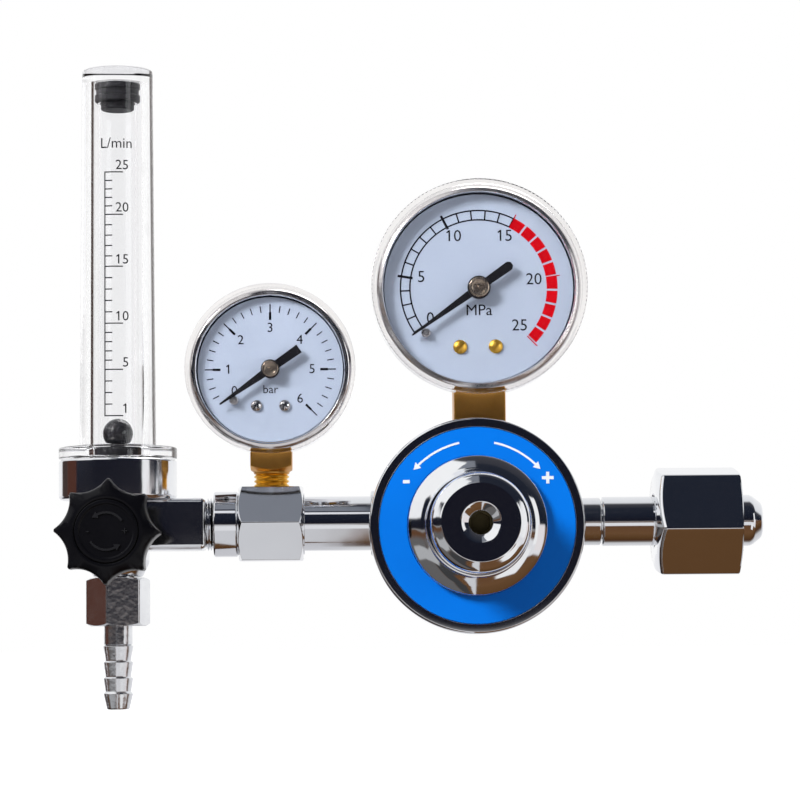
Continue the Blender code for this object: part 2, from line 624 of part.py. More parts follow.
# Valve body, knob and outlet
def valve_body():
    """Cup, trunk, arm and valve boss in one piece, with the gland, stem and knob."""
    body = turned("flow_body",
                  [(0, CUP_TOP), (CUP_R - CUP_EDGE, CUP_TOP), (CUP_R, CUP_TOP - CUP_EDGE),
                   (CUP_R, CUP_BOTTOM + CUP_EDGE), (CUP_R - CUP_EDGE, CUP_BOTTOM),
                   (TRUNK_R, CUP_BOTTOM), (TRUNK_R, -TRUNK_LEN),
                   (TRUNK_FOOT_R, -TRUNK_LEN - TRUNK_FOOT_LEN), (STUB_R, -TRUNK_LEN - TRUNK_FOOT_LEN),
                   (STUB_R, -TRUNK_LEN - TRUNK_FOOT_LEN - STUB_LEN),
                   (0, -TRUNK_LEN - TRUNK_FOOT_LEN - STUB_LEN)],
                  FLOW, SEGMENTS_BODY, "chrome")
    arm_end = FLOW_X + ARM_LEN
    thread_tip = arm_end + ARM_NECK_LEN + ARM_THREAD_LEN
    join(body,
         block("arm", (ARM_LEN + 4, ARM_W, ARM_W), FLOW, at=((ARM_LEN - 4) / 2, 0, 0),
               bevel=ARM_BEVEL),
         rod("arm_neck", ARM_NECK_R, arm_end - 3, arm_end + ARM_NECK_LEN - GAP, PIPE, SEGMENTS_SMALL),
         rod("arm_thread", ARM_THREAD_R, arm_end - 3, thread_tip, PIPE, SEGMENTS_INNER),
         rod("valve_boss", VALVE_BOSS_R, 2, VALVE_BOSS_LEN, VALVE, SEGMENTS_SMALL))
    cut(body,
        rod("cup_recess", SPIGOT_R + RUN, CUP_FLOOR, CUP_TOP + 1, FLOW, SEGMENTS_BODY),
        rod("rise_bore", SEAT_HOLE_R, -VALVE_DROP, CUP_FLOOR + 1, FLOW, SEGMENTS_TINY),
        rod("arm_bore", GAS_BORE_R, FLOW_X, thread_tip + 1, PIPE, SEGMENTS_TINY),
        rod("stem_bore", VALVE_BORE, 1.5, VALVE_BOSS_LEN + 1, VALVE, SEGMENTS_INNER),
        rod("outlet_bore_down", OUTLET_BORE_R, -40, -TRUNK_LEN, FLOW, SEGMENTS_TINY))

    gland_inner = STEM_R + RUN
    head = VALVE_BOSS_LEN + GAP
    gland = hexagon("gland_nut", GLAND_AF, head, head + GLAND_HEAD, VALVE, "chrome", turn=30)
    join(gland, rod("gland_thread", GLAND_THREAD_R, head - GLAND_THREAD_LEN, head + 1, VALVE,
                    SEGMENTS_INNER))
    cut(gland, rod("gland_hole", gland_inner, head - 20, head + 20, VALVE, SEGMENTS_TINY))
    packing_front = head - GLAND_THREAD_LEN - GAP
    washer("stem_packing", VALVE_BORE - GAP, gland_inner, packing_front - PACKING_LEN,
           packing_front, VALVE, SEGMENTS_TINY, "rubber")
    tip = 1.5 + GAP
    turned("valve_stem",
           [(0, STEM_FRONT), (STEM_R, STEM_FRONT), (STEM_R, tip + STEM_CONE), (STEM_TIP, tip),
            (0, tip)], VALVE, SEGMENTS_TINY, "steel")


def knob_outline(tip_r, valley_r):
    """Eight blunt points joined by hollow flutes."""
    points = []
    step = 360.0 / KNOB_LOBES
    for lobe in range(KNOB_LOBES):
        middle = lobe * step
        for offset, radius in ((-3.5, tip_r), (3.5, tip_r), (9.5, valley_r + (tip_r - valley_r) * 0.38),
                               (22.5, valley_r), (35.5, valley_r + (tip_r - valley_r) * 0.38)):
            angle = math.radians(middle + offset)
            points.append((radius * math.cos(angle), radius * math.sin(angle)))
    return points


def knob():
    """Moulded knob on the stem, its screw and the cap over it."""
    grip = prism("knob", knob_outline(KNOB_TIP_R, KNOB_VALLEY_R), KNOB_BACK, KNOB_FRONT - 0.8,
                 VALVE, "black", turn=KNOB_TURN)
    crown = turned("knob_crown",
                   [(0, KNOB_FRONT), (KNOB_CAP_R + 1.3, KNOB_FRONT),
                    (KNOB_TIP_R + 0.1, KNOB_FRONT - KNOB_EDGE * 1.5),
                    (KNOB_TIP_R + 0.1, KNOB_BACK + 1), (KNOB_TIP_R - 1.2, KNOB_BACK),
                    (0, KNOB_BACK)], VALVE, SEGMENTS_MEDIUM)
    combine(grip, crown, "INTERSECT")
    cap_floor = KNOB_FRONT - 0.8 - KNOB_CAP_T
    join(grip, turned("knob_hub",
                      [(0, KNOB_BACK + 2), (KNOB_HUB_R, KNOB_BACK + 2), (KNOB_HUB_R, KNOB_BACK),
                       (KNOB_HUB_R - 1, KNOB_HUB_BACK), (0, KNOB_HUB_BACK)], VALVE, SEGMENTS_SMALL))
    screw_seat = STEM_FRONT + GAP
    cut(grip,
        rod("cap_recess", KNOB_CAP_R + GAP, cap_floor, KNOB_FRONT + 1, VALVE, SEGMENTS_SMALL),
        rod("stem_socket", STEM_R + RUN, KNOB_HUB_BACK - 1, screw_seat + 0.2, VALVE, SEGMENTS_TINY),
        rod("screw_head_room", KNOB_SCREW_HEAD_R + GAP, screw_seat, KNOB_FRONT, VALVE, SEGMENTS_TINY))
    rod("knob_cap", KNOB_CAP_R, cap_floor + GAP, cap_floor + GAP + KNOB_CAP_T, VALVE,
        SEGMENTS_SMALL, "black")
    head_back = screw_seat + GAP
    rod("knob_screw", KNOB_SCREW_HEAD_R, head_back, head_back + KNOB_SCREW_HEAD_H, VALVE, SEGMENTS_TINY,
        "steel")


def outlet():
    """Union nut and hose barb under the valve body."""
    top = -TRUNK_LEN - TRUNK_FOOT_LEN - GAP
    bottom = top - OUTLET_NUT_LEN
    nut = hexagon("outlet_nut", OUTLET_NUT_AF, bottom, top, FLOW, "chrome",
                  turn=OUTLET_NUT_TURN)
    chamfer_hex(nut, OUTLET_NUT_AF, bottom, top, FLOW)
    lip = bottom + OUTLET_NUT_LIP
    cut(nut,
        rod("outlet_nut_thread", STUB_R + RUN, lip, top + 1, FLOW, SEGMENTS_SMALL),
        rod("outlet_nut_hole", BARB_NECK_R + RUN, bottom - 1, lip + 1, FLOW, SEGMENTS_INNER))
    stub_end = -TRUNK_LEN - TRUNK_FOOT_LEN - STUB_LEN
    washer("barb_gasket", STUB_R - 0.2, OUTLET_BORE_R, stub_end - GAP - BARB_GASKET_T,
           stub_end - GAP, FLOW, SEGMENTS_TINY, "rubber")
    collar_top = stub_end - 2 * GAP - BARB_GASKET_T
    ridge_top = bottom - BARB_NECK_LEN
    profile = [(BARB_COLLAR_R, collar_top), (BARB_COLLAR_R, lip + GAP), (BARB_NECK_R, lip + GAP),
               (BARB_NECK_R, ridge_top)]
    for ridge in range(BARB_RIDGES):
        height = ridge_top - ridge * BARB_PITCH
        profile += [(BARB_ROOT_R, height - 0.1), (BARB_RIDGE_R, height - 0.5),
                    (BARB_ROOT_R, height - BARB_PITCH + 0.2)]
    last = ridge_top - BARB_RIDGES * BARB_PITCH
    end = last - BARB_END_LEN
    profile += [(BARB_RIDGE_R, last - 0.4), (BARB_END_R, end), (BARB_BORE_R, end),
                (BARB_BORE_R, collar_top)]
    turned("hose_barb", profile, FLOW, SEGMENTS_INNER, "chrome", ring=True)


# Flow tube
def flow_tube():
    """Clear cover screwed into the cup, metering tube, ball, seat and plug."""
    bore_top = COVER_TOP - COVER_ROOF
    turned("flow_cover",
           [(0, COVER_TOP), (COVER_TOP_R - 0.5, COVER_TOP), (COVER_TOP_R, COVER_TOP - 0.5),
            (COVER_FOOT_R, FLANGE_TOP),
            (FLANGE_R, FLANGE_TOP), (FLANGE_R, FLANGE_BOTTOM), (SPIGOT_R, FLANGE_BOTTOM),
            (SPIGOT_R, SPIGOT_BOTTOM), (COVER_BORE_R, SPIGOT_BOTTOM), (COVER_BORE_R - 0.3, bore_top),
            (0, bore_top)], FLOW, SEGMENTS_MEDIUM, "clear")
    washer("cover_gasket", SPIGOT_R - GAP, GASKET_INNER_R, CUP_FLOOR + GAP, SPIGOT_BOTTOM - GAP,
           FLOW, SEGMENTS_INNER, "rubber")
    washer("tube_seat", SEAT_R, SEAT_HOLE_R, CUP_FLOOR + GAP, SEAT_TOP, FLOW, SEGMENTS_INNER,
           "rubber")
    turned("metering_tube",
           [(TUBE_R, TUBE_TOP), (TUBE_R, SEAT_TOP + GAP), (TUBE_BORE_FOOT_R, SEAT_TOP + GAP),
            (TUBE_BORE_TOP_R, TUBE_TOP)], FLOW, SEGMENTS_TUBE, "clear", ring=True)
    plug_low = TUBE_TOP + GAP
    turned("tube_top_plug",
           [(0, bore_top - GAP), (TOP_PLUG_R, bore_top - GAP), (TOP_PLUG_R, plug_low),
            (TOP_PLUG_SPIGOT_R, plug_low), (TOP_PLUG_SPIGOT_R, plug_low - TOP_PLUG_SPIGOT_LEN),
            (0, plug_low - TOP_PLUG_SPIGOT_LEN)], FLOW, SEGMENTS_INNER, "rubber")
    rest = SEAT_TOP + GAP + math.sqrt(BALL_R ** 2 - SEAT_HOLE_R ** 2)
    arc = [(BALL_R * math.sin(math.pi * i / 6), BALL_R * math.cos(math.pi * i / 6))
           for i in range(7)]
    arc[0], arc[-1] = (0, BALL_R), (0, -BALL_R)
    turned("float_ball", arc, FLOW, SEGMENTS_INNER, "black", at=(0, 0, rest))


# Gauges
@dataclass(frozen=True)
class Gauge:
    """Sizes of one gauge.  Heights run up from the gas path, depths towards the front."""

    name: str
    x: float
    foot: float               # height of the square stem's foot
    stem_len: float           # foot to the gauge's centre
    stem_w: float
    thread_r: float
    thread_len: float         # below the foot
    case_r: float
    case_wall: float
    depth: float
    face: float               # front of the case's lip
    cover_r: float
    cover_front: float
    tube_r: float
    screws: tuple
    screw_r: float
    pin: tuple
    pin_r: float
    hand: float               # pointer's reach from the centre
    tail: float
    hub_r: float
    rest_deg: float
    segments: int

    @property
    def height(self):
        return self.foot + self.stem_len

    @property
    def thread_end(self):
        return self.foot - self.thread_len


WORKING = Gauge(
    name="working", x=WORKING_X, foot=TEE_HEX_AF / 2 + WORKING_STEM_LIFT, stem_len=29.7,
    stem_w=12.4, thread_r=5.25, thread_len=11.6, case_r=23.85, case_wall=1.95, depth=12.5,
    face=11.0, cover_r=25.3, cover_front=15.3, tube_r=15.5, screws=((-4.2, -10.8), (4.2, -10.8)),
    screw_r=1.75, pin=(-10.9, -9.2), pin_r=1.35, hand=18.3, tail=10.5, hub_r=2.8,
    rest_deg=214.9, segments=SEGMENTS_GAUGE)
CONTENTS = Gauge(
    name="contents", x=CONTENTS_X, foot=BODY_R + SIDE_BOSS_LEN - BODY_DROP + CONTENTS_STEM_LIFT,
    stem_len=38.1, stem_w=15.4, thread_r=6.5, thread_len=9.9, case_r=30.3, case_wall=1.8,
    depth=13.5, face=12.0, cover_r=32.2, cover_front=16.5, tube_r=19.5,
    screws=((-5.7, -17.6), (4.9, -17.5)), screw_r=2.1, pin=(-15.9, -13.4), pin_r=1.4,
    hand=24.5, tail=11.6, hub_r=3.45, rest_deg=215.3, segments=SEGMENTS_LARGE)


def gear_outline(teeth, whole, module, turn, span):
    """Outline points of gear teeth, counter-clockwise; `span` is the flank's share of a pitch."""
    radius = whole * module / 2
    pitch = 360.0 / whole
    points = []
    for tooth in range(teeth):
        middle = turn + (tooth - (teeth - 1) / 2) * pitch
        for offset, r in ((-span * pitch, radius - 1.2 * module),
                          (-span * 0.45 * pitch, radius + 0.75 * module),
                          (span * 0.45 * pitch, radius + 0.75 * module),
                          (span * pitch, radius - 1.2 * module)):
            angle = math.radians(middle + offset)
            points.append((r * math.cos(angle), r * math.sin(angle)))
    return points


def gauge(size):
    """One dial gauge: socket, case, Bourdon tube, movement, dial, pointer and cover."""
    n = size.name + "_"
    centre = frame(n + "axis", (size.x, 0, size.height), FACING_FRONT)
    upright = frame(n + "stem_axis", (size.x, 0, 0))
    inner = size.case_r - size.case_wall
    back, lip = -size.depth, size.face
    dial = GAUGE_FRONT_PLATE + GAUGE_FRONT_PLATE_T + GAP
    case = turned(n + "case",
                  [(0, back + 1.2), (inner, back + 1.2), (inner, lip),
                   (size.case_r - 0.4, lip), (size.case_r, lip - 0.5), (size.case_r, back),
                   (0, back)], centre, size.segments, "case")
    cut(case, block(n + "stem_hole", (size.stem_w + 2 * GAP,) * 3, centre,
                    at=(0, -size.case_r, 0)))
    skirt = size.case_r + GAP
    turned(n + "cover",
           [(0, size.cover_front), (size.cover_r - 0.8, size.cover_front),
            (size.cover_r, size.cover_front - 0.8), (size.cover_r, size.cover_front - COVER_SKIRT),
            (skirt, size.cover_front - COVER_SKIRT), (skirt, size.cover_front - COVER_T),
            (0, size.cover_front - COVER_T)], centre, size.segments, "clear")

    # Socket: thread and square outside, flat tongue inside the case
    foot = size.foot - size.height
    square_top = -size.case_r + size.stem_w / 2 + 0.2
    tongue_front = GAUGE_PLATE_GAP - GAP
    tongue_back = -5.0
    socket = block(n + "socket", (size.stem_w, square_top - foot, size.stem_w), centre, "brass",
                   at=(0, (square_top + foot) / 2, 0))
    tongue_top = -8.0
    join(socket,
         block(n + "tongue", (size.stem_w - 2 * TONGUE_INSET, tongue_top - square_top + 2,
                              tongue_front - tongue_back), centre,
               at=(0, (tongue_top + square_top - 2) / 2, (tongue_front + tongue_back) / 2)),
         turned(n + "thread",
                [(0, size.foot + 1), (size.stem_w / 2 - 0.2, size.foot + 1),
                 (size.stem_w / 2 - 0.2, size.foot), (size.thread_r, size.foot - 1),
                 (size.thread_r, size.thread_end), (0, size.thread_end)], upright, SEGMENTS_SMALL))
    cut(socket, rod(n + "socket_bore", 1.5, size.thread_end - 1, size.foot + 6, upright, SEGMENTS_TINY))

    # Bourdon tube, a flattened tube bent round from the tongue
    start = -math.acos((size.stem_w / 2 - TONGUE_INSET + 2 * GAP) / size.tube_r)
    end = math.radians(BOURDON_END_DEG)
    curve = bpy.data.curves.new(n + "bourdon_tube", "CURVE")
    curve.dimensions = "3D"
    curve.twist_mode = "Z_UP"
    curve.extrude = (BOURDON_W - BOURDON_T) / 2 * MM
    curve.bevel_depth = BOURDON_T / 2 * MM
    curve.bevel_resolution = 0
    curve.use_fill_caps = True
    curve.render_resolution_u = 0
    spline = curve.splines.new("POLY")
    count = 13
    spline.points.add(count - 1)
    for i, point in enumerate(spline.points):
        angle = start + (end - start) * i / (count - 1)
        point.co = (size.tube_r * math.cos(angle) * MM, size.tube_r * math.sin(angle) * MM, 0, 1)
    curve.materials.append(material(n + "bourdon_tube", "brass"))
    tube = bpy.data.objects.new(n + "bourdon_tube", curve)
    tube.parent = centre
    tube_front = GEAR_BACK - 2 * GAP - LINK_T
    tube.location = (0, 0, (tube_front - BOURDON_W / 2) * MM)
    PARTS.objects.link(tube)

    # Movement frame: two plates, two posts and the sector's pivot
    pivot_r = (PINION_TEETH + SECTOR_TEETH_FULL) * GEAR_MODULE / 2
    a = math.radians(SECTOR_PIVOT_DEG)
    pivot = (pivot_r * math.cos(a), pivot_r * math.sin(a))
    low = min(pivot[1] - 3.6, size.screws[0][1] - 2.4)
    wide = max(abs(size.screws[0][0]), abs(size.screws[1][0])) + 2.2
    outline = [(-wide - 0.8, low), (wide, low), (4.2, 6.0), (-4.2, 6.0)]
    plate_top = GAUGE_PLATE_GAP + GAUGE_PLATE_T
    frame_plate = prism(n + "movement", outline, GAUGE_PLATE_GAP, plate_top, centre, "brass")
    front_top = GAUGE_FRONT_PLATE + GAUGE_FRONT_PLATE_T
    low_end, high_end = plate_top - POST_SINK, GAUGE_FRONT_PLATE + POST_SINK
    pins = [rod(n + "post_top", POST_R, low_end, high_end, centre, SEGMENTS_PIN,
                at=(0, POST_TOP_Y, 0)),
            rod(n + "post_low", POST_R, low_end, high_end, centre, SEGMENTS_PIN,
                at=(POST_LOW_X, pivot[1] - 2.2, 0)),
            rod(n + "sector_pin", ARBOR_R, low_end, high_end, centre, SEGMENTS_PIN,
                at=(*pivot, 0))]
    join(frame_plate, prism(n + "front_plate", outline, GAUGE_FRONT_PLATE, front_top, centre),
         *pins)
    hole_low, hole_high = GAUGE_FRONT_PLATE - 1, front_top + 1
    cut(frame_plate,
        rod(n + "arbor_hole", ARBOR_HOLE_R, hole_low, hole_high, centre, SEGMENTS_PIN),
        *[rod(f"{n}screw_hole_{i}", ARBOR_HOLE_R, hole_low, hole_high, centre, SEGMENTS_PIN,
              at=(x, y, 0)) for i, (x, y) in enumerate(size.screws)])

    # Sector and pinion
    facing = math.degrees(a) - 180.0
    gear_top = GEAR_BACK + GEAR_T
    turn_rest = facing - 360.0 / SECTOR_TEETH_FULL * SECTOR_REST_TOOTH
    tail = math.radians(SECTOR_TAIL_DEG - turn_rest)
    along, across = Vector((math.cos(tail), math.sin(tail))), Vector((math.sin(tail), -math.cos(tail)))
    blade = gear_outline(SECTOR_TEETH, SECTOR_TEETH_FULL, GEAR_MODULE, 0.0, TOOTH_SHARE)
    blade += circle(SECTOR_HUB_R, 1, SECTOR_HUB_ANGLES[0])
    blade += [tuple(along * SECTOR_TAIL_LEN + across), tuple(along * SECTOR_TAIL_LEN - across)]
    for angle in SECTOR_HUB_ANGLES[1:]:
        blade += circle(SECTOR_HUB_R, 1, angle)
    sector = prism(n + "sector", blade, GEAR_BACK, gear_top, centre, "brass",
                   at=(*pivot, 0), turn=turn_rest)
    cut(sector, rod(n + "sector_hole", ARBOR_HOLE_R, GEAR_BACK - 1, gear_top + 1, centre, SEGMENTS_PIN,
                    at=(*pivot, 0)))
    pinion = prism(n + "pinion",
                   gear_outline(PINION_TEETH, PINION_TEETH, GEAR_MODULE, 0.0, TOOTH_SHARE),
                   GEAR_BACK, gear_top, centre, "brass", turn=facing + 180.0)
    cut(pinion, rod(n + "pinion_hole", ARBOR_R + PINION_FIT, GEAR_BACK - 1, gear_top + 1, centre,
                    SEGMENTS_PIN))

    # Link between the tube's tip and the sector's tail
    tip = size.tube_r * Vector((math.cos(end), math.sin(end)))
    tail_end = Vector(pivot) + SECTOR_TAIL_LEN * Vector((math.cos(math.radians(SECTOR_TAIL_DEG)),
                                                         math.sin(math.radians(SECTOR_TAIL_DEG))))
    side = (tail_end - tip).orthogonal().normalized() * LINK_W / 2
    prism(n + "link", [tuple(tip + side), tuple(tip - side), tuple(tail_end - side),
                       tuple(tail_end + side)],
          tube_front + GAP, tube_front + GAP + LINK_T, centre, "brass")

    # Dial, its screws and the stop pin
    face = turned(n + "dial",
                  [(inner - GAP, dial + DIAL_T), (inner - GAP, dial), (1.6, dial),
                   (1.6, dial + DIAL_T)], centre, size.segments - DIAL_FEWER, "dial", ring=True)
    top = dial + DIAL_T
    cut(face,
        *[rod(f"{n}dial_hole_{i}", ARBOR_HOLE_R, dial - 1, top + 1, centre, SEGMENTS_PIN, at=(x, y, 0))
          for i, (x, y) in enumerate(size.screws)])
    for i, (x, y) in enumerate(size.screws):
        turned(f"{n}dial_screw_{i + 1}",
               [(0, top + GAP + 0.8), (size.screw_r, top + GAP + 0.8), (size.screw_r, top + GAP),
                (0.75, top + GAP), (0.75, GAUGE_FRONT_PLATE + 0.3), (0, GAUGE_FRONT_PLATE + 0.3)],
               centre, SEGMENTS_TINY, "steel" if size is WORKING else "brass", at=(x, y, 0))
    blade_low = top + POINTER_LIFT
    pin_top = blade_low + POINTER_T + 0.6
    turned(n + "stop_pin",
           [(0, pin_top), (STOP_PIN_R, pin_top), (STOP_PIN_R, blade_low - GAP),
            (size.pin_r, blade_low - GAP), (size.pin_r, top + GAP), (0, top + GAP)],
           centre, SEGMENTS_TINY, "steel", at=(*size.pin, 0))

    # Pointer with its hub and arbor
    hand = [(size.hand, -0.25), (size.hand, 0.25), (0, 1.15), (-size.tail, 1.15),
            (-size.tail, -1.15), (0, -1.15)]
    pointer = turned(n + "pointer",
                     [(0, blade_low + 1.6), (size.hub_r, blade_low + 1.6),
                      (size.hub_r, blade_low - 0.5), (ARBOR_R, blade_low - 0.5),
                      (ARBOR_R, plate_top + GAP), (0, plate_top + GAP)],
                     centre, SEGMENTS_INNER, "black" if size is CONTENTS else "brass")
    join(pointer, prism(n + "hand", hand, blade_low, blade_low + POINTER_T, centre,
                        turn=size.rest_deg))


inlet()
regulator()
tee()
valve_body()
knob()
outlet()
flow_tube()
for each in (WORKING, CONTENTS):
    gauge(each)
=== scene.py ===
"""Finish, studio and camera for a shielding gas regulator with two gauges and a flow tube.

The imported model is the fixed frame.  Each sub-assembly is a class that holds its sizes in
millimetres, builds its meshes about its own axis with bmesh operators, and dresses them.  A piece
takes the place of the plain solid that it stands for and rides on the same body.
"""
import logging
import math
from collections.abc import Callable, Sequence
from dataclasses import dataclass, field
from enum import Enum
from functools import cache
from typing import ClassVar

import bmesh
import bpy
from mathutils import Matrix, Vector


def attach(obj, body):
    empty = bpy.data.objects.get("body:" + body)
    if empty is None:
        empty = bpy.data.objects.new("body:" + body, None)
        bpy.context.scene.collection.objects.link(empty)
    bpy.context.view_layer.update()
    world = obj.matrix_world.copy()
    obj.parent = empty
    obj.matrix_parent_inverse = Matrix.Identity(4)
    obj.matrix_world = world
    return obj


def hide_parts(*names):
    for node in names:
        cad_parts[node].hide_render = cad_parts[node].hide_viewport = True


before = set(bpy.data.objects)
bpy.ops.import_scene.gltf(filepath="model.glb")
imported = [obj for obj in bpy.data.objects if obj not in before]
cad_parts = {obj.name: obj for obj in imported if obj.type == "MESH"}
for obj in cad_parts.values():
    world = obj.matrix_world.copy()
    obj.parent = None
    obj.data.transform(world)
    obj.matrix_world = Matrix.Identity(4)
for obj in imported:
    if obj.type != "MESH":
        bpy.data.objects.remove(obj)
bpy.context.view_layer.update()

LOG = logging.getLogger("regulator")

MM = 0.001
MICRON = 1e-6
FULL_TURN = 2 * math.pi
RIM_STEPS = 160
FINE_STEPS = 128
CLOSE_STEPS = 96
MEDIUM_STEPS = 64
SMALL_STEPS = 48
TINY_STEPS = 24
ARC_STEP_DEG = 3
FILLET_SEGMENTS = 3
MERGE_MM = 0.0005
SHARP_DEG = 34.0
INK_MM = 0.05

Point = tuple[float, ...]
Span = tuple[float, float]
Colour = tuple[float, float, float]
Ring = Callable[[float], Point]   # from an angle to a radius and height
Tree = bpy.types.NodeTree
Socket = bpy.types.NodeSocket


# Places


class Facing(Enum):
    """The way a piece's own axis points, as the turn that brings it there."""

    UP = ("Z", 0)
    DOWN_PIPE = ("Y", 90)
    FRONT = ("X", 90)
    UP_ON_PIPE = ("Y", -90)       # up, in a piece that lies along the pipe
    UP_ON_FRONT = ("X", -90)      # up, in a piece that faces the viewer

    @property
    def matrix(self) -> Matrix:
        """The rotation that turns local Z to that way."""
        axis, degrees = self.value
        return Matrix.Rotation(math.radians(degrees), 4, axis)


def turn_z(degrees: float) -> Matrix:
    """A turn about local Z."""
    return Matrix.Rotation(math.radians(degrees), 4, "Z")


def on_circle(radius: float, degrees: float, height: float) -> Point:
    """The point at an angle on a circle about the axis."""
    angle = math.radians(degrees)
    return radius * math.cos(angle), radius * math.sin(angle), height


@dataclass(frozen=True)
class Station:
    """Where a piece sits: a point in mm, the way it faces and a turn about its own axis."""

    at: Point = (0.0, 0.0, 0.0)
    facing: Facing = Facing.UP
    turn: float = 0.0

    def laid(self) -> Matrix:
        """From the piece's own axis to its place, both in millimetres."""
        return Matrix.Translation(self.at) @ self.facing.matrix @ turn_z(self.turn)

    def matrix(self) -> Matrix:
        """From local millimetres to metres in the shared frame."""
        return Matrix.Scale(MM, 4) @ self.laid()

    def turned(self, degrees: float) -> "Station":
        """The same station with a turn."""
        return Station(self.at, self.facing, degrees)


NIPPLE_SHOULDER_X = -48.4
BODY_X = -86.0
CONTENTS_X = -84.4
BODY_DROP = 1.6                   # how far the regulator's axis lies under the pipe's
TEE_RIGHT_X = -137.2
TEE_LEFT_X = -163.9
TEE_PORT_X = -146.6
FLOW_X = -192.5
VALVE_DROP = 3.3                  # and how far the needle valve's does

PIPE = Station(facing=Facing.DOWN_PIPE)
REGULATOR = Station((BODY_X, 0.0, -BODY_DROP), Facing.FRONT)
FLOW = Station((FLOW_X, 0.0, 0.0))
VALVE = Station((FLOW_X, 0.0, -VALVE_DROP), Facing.FRONT)


# Modelling


def ring_at(radius: float, height: float) -> Ring:
    """A round ring at one height, for a loft."""
    return lambda angle: (radius, height)


@dataclass(frozen=True)
class Bar:
    """The outline of a regular bar with rounded corners, one flat of which faces angle 0."""

    sides: int
    apothem: float                # half the size across the flats
    corner: float                 # radius of the rounded corners

    @property
    def half(self) -> float:
        """Half the angle that one side takes up."""
        return math.pi / self.sides

    @property
    def tangent(self) -> float:
        """The angle from a flat's middle to where its corner starts."""
        return math.atan2((self.apothem - self.corner) * math.tan(self.half), self.apothem)

    def radius(self, angle: float) -> float:
        """The outline's radius at an angle in radians.

        Args:
            angle: The angle from the middle of the first flat, in radians.

        Returns:
            The radius there, in mm.
        """
        off_flat = (angle + self.half) % (2 * self.half) - self.half
        if abs(off_flat) <= self.tangent:
            return self.apothem / math.cos(off_flat)
        off_corner = self.half - abs(off_flat)
        reach = (self.apothem - self.corner) / math.cos(self.half)
        across = reach * math.sin(off_corner)
        return reach * math.cos(off_corner) + math.sqrt(max(self.corner ** 2 - across ** 2, 0.0))

    def angles(self, flat: int = 12, arc: int = 5) -> list[float]:
        """Angles with `flat` steps along each flat and `arc` round each corner.

        Args:
            flat: How many steps a flat takes.
            arc: How many steps a corner takes.

        Returns:
            The angles in radians, once round.
        """
        half, tangent = self.half, self.tangent
        return [2 * side * half + step for side in range(self.sides) for step in (
            *(-tangent + 2 * tangent * i / flat for i in range(flat)),
            *(tangent + 2 * (half - tangent) * i / arc for i in range(arc)))]


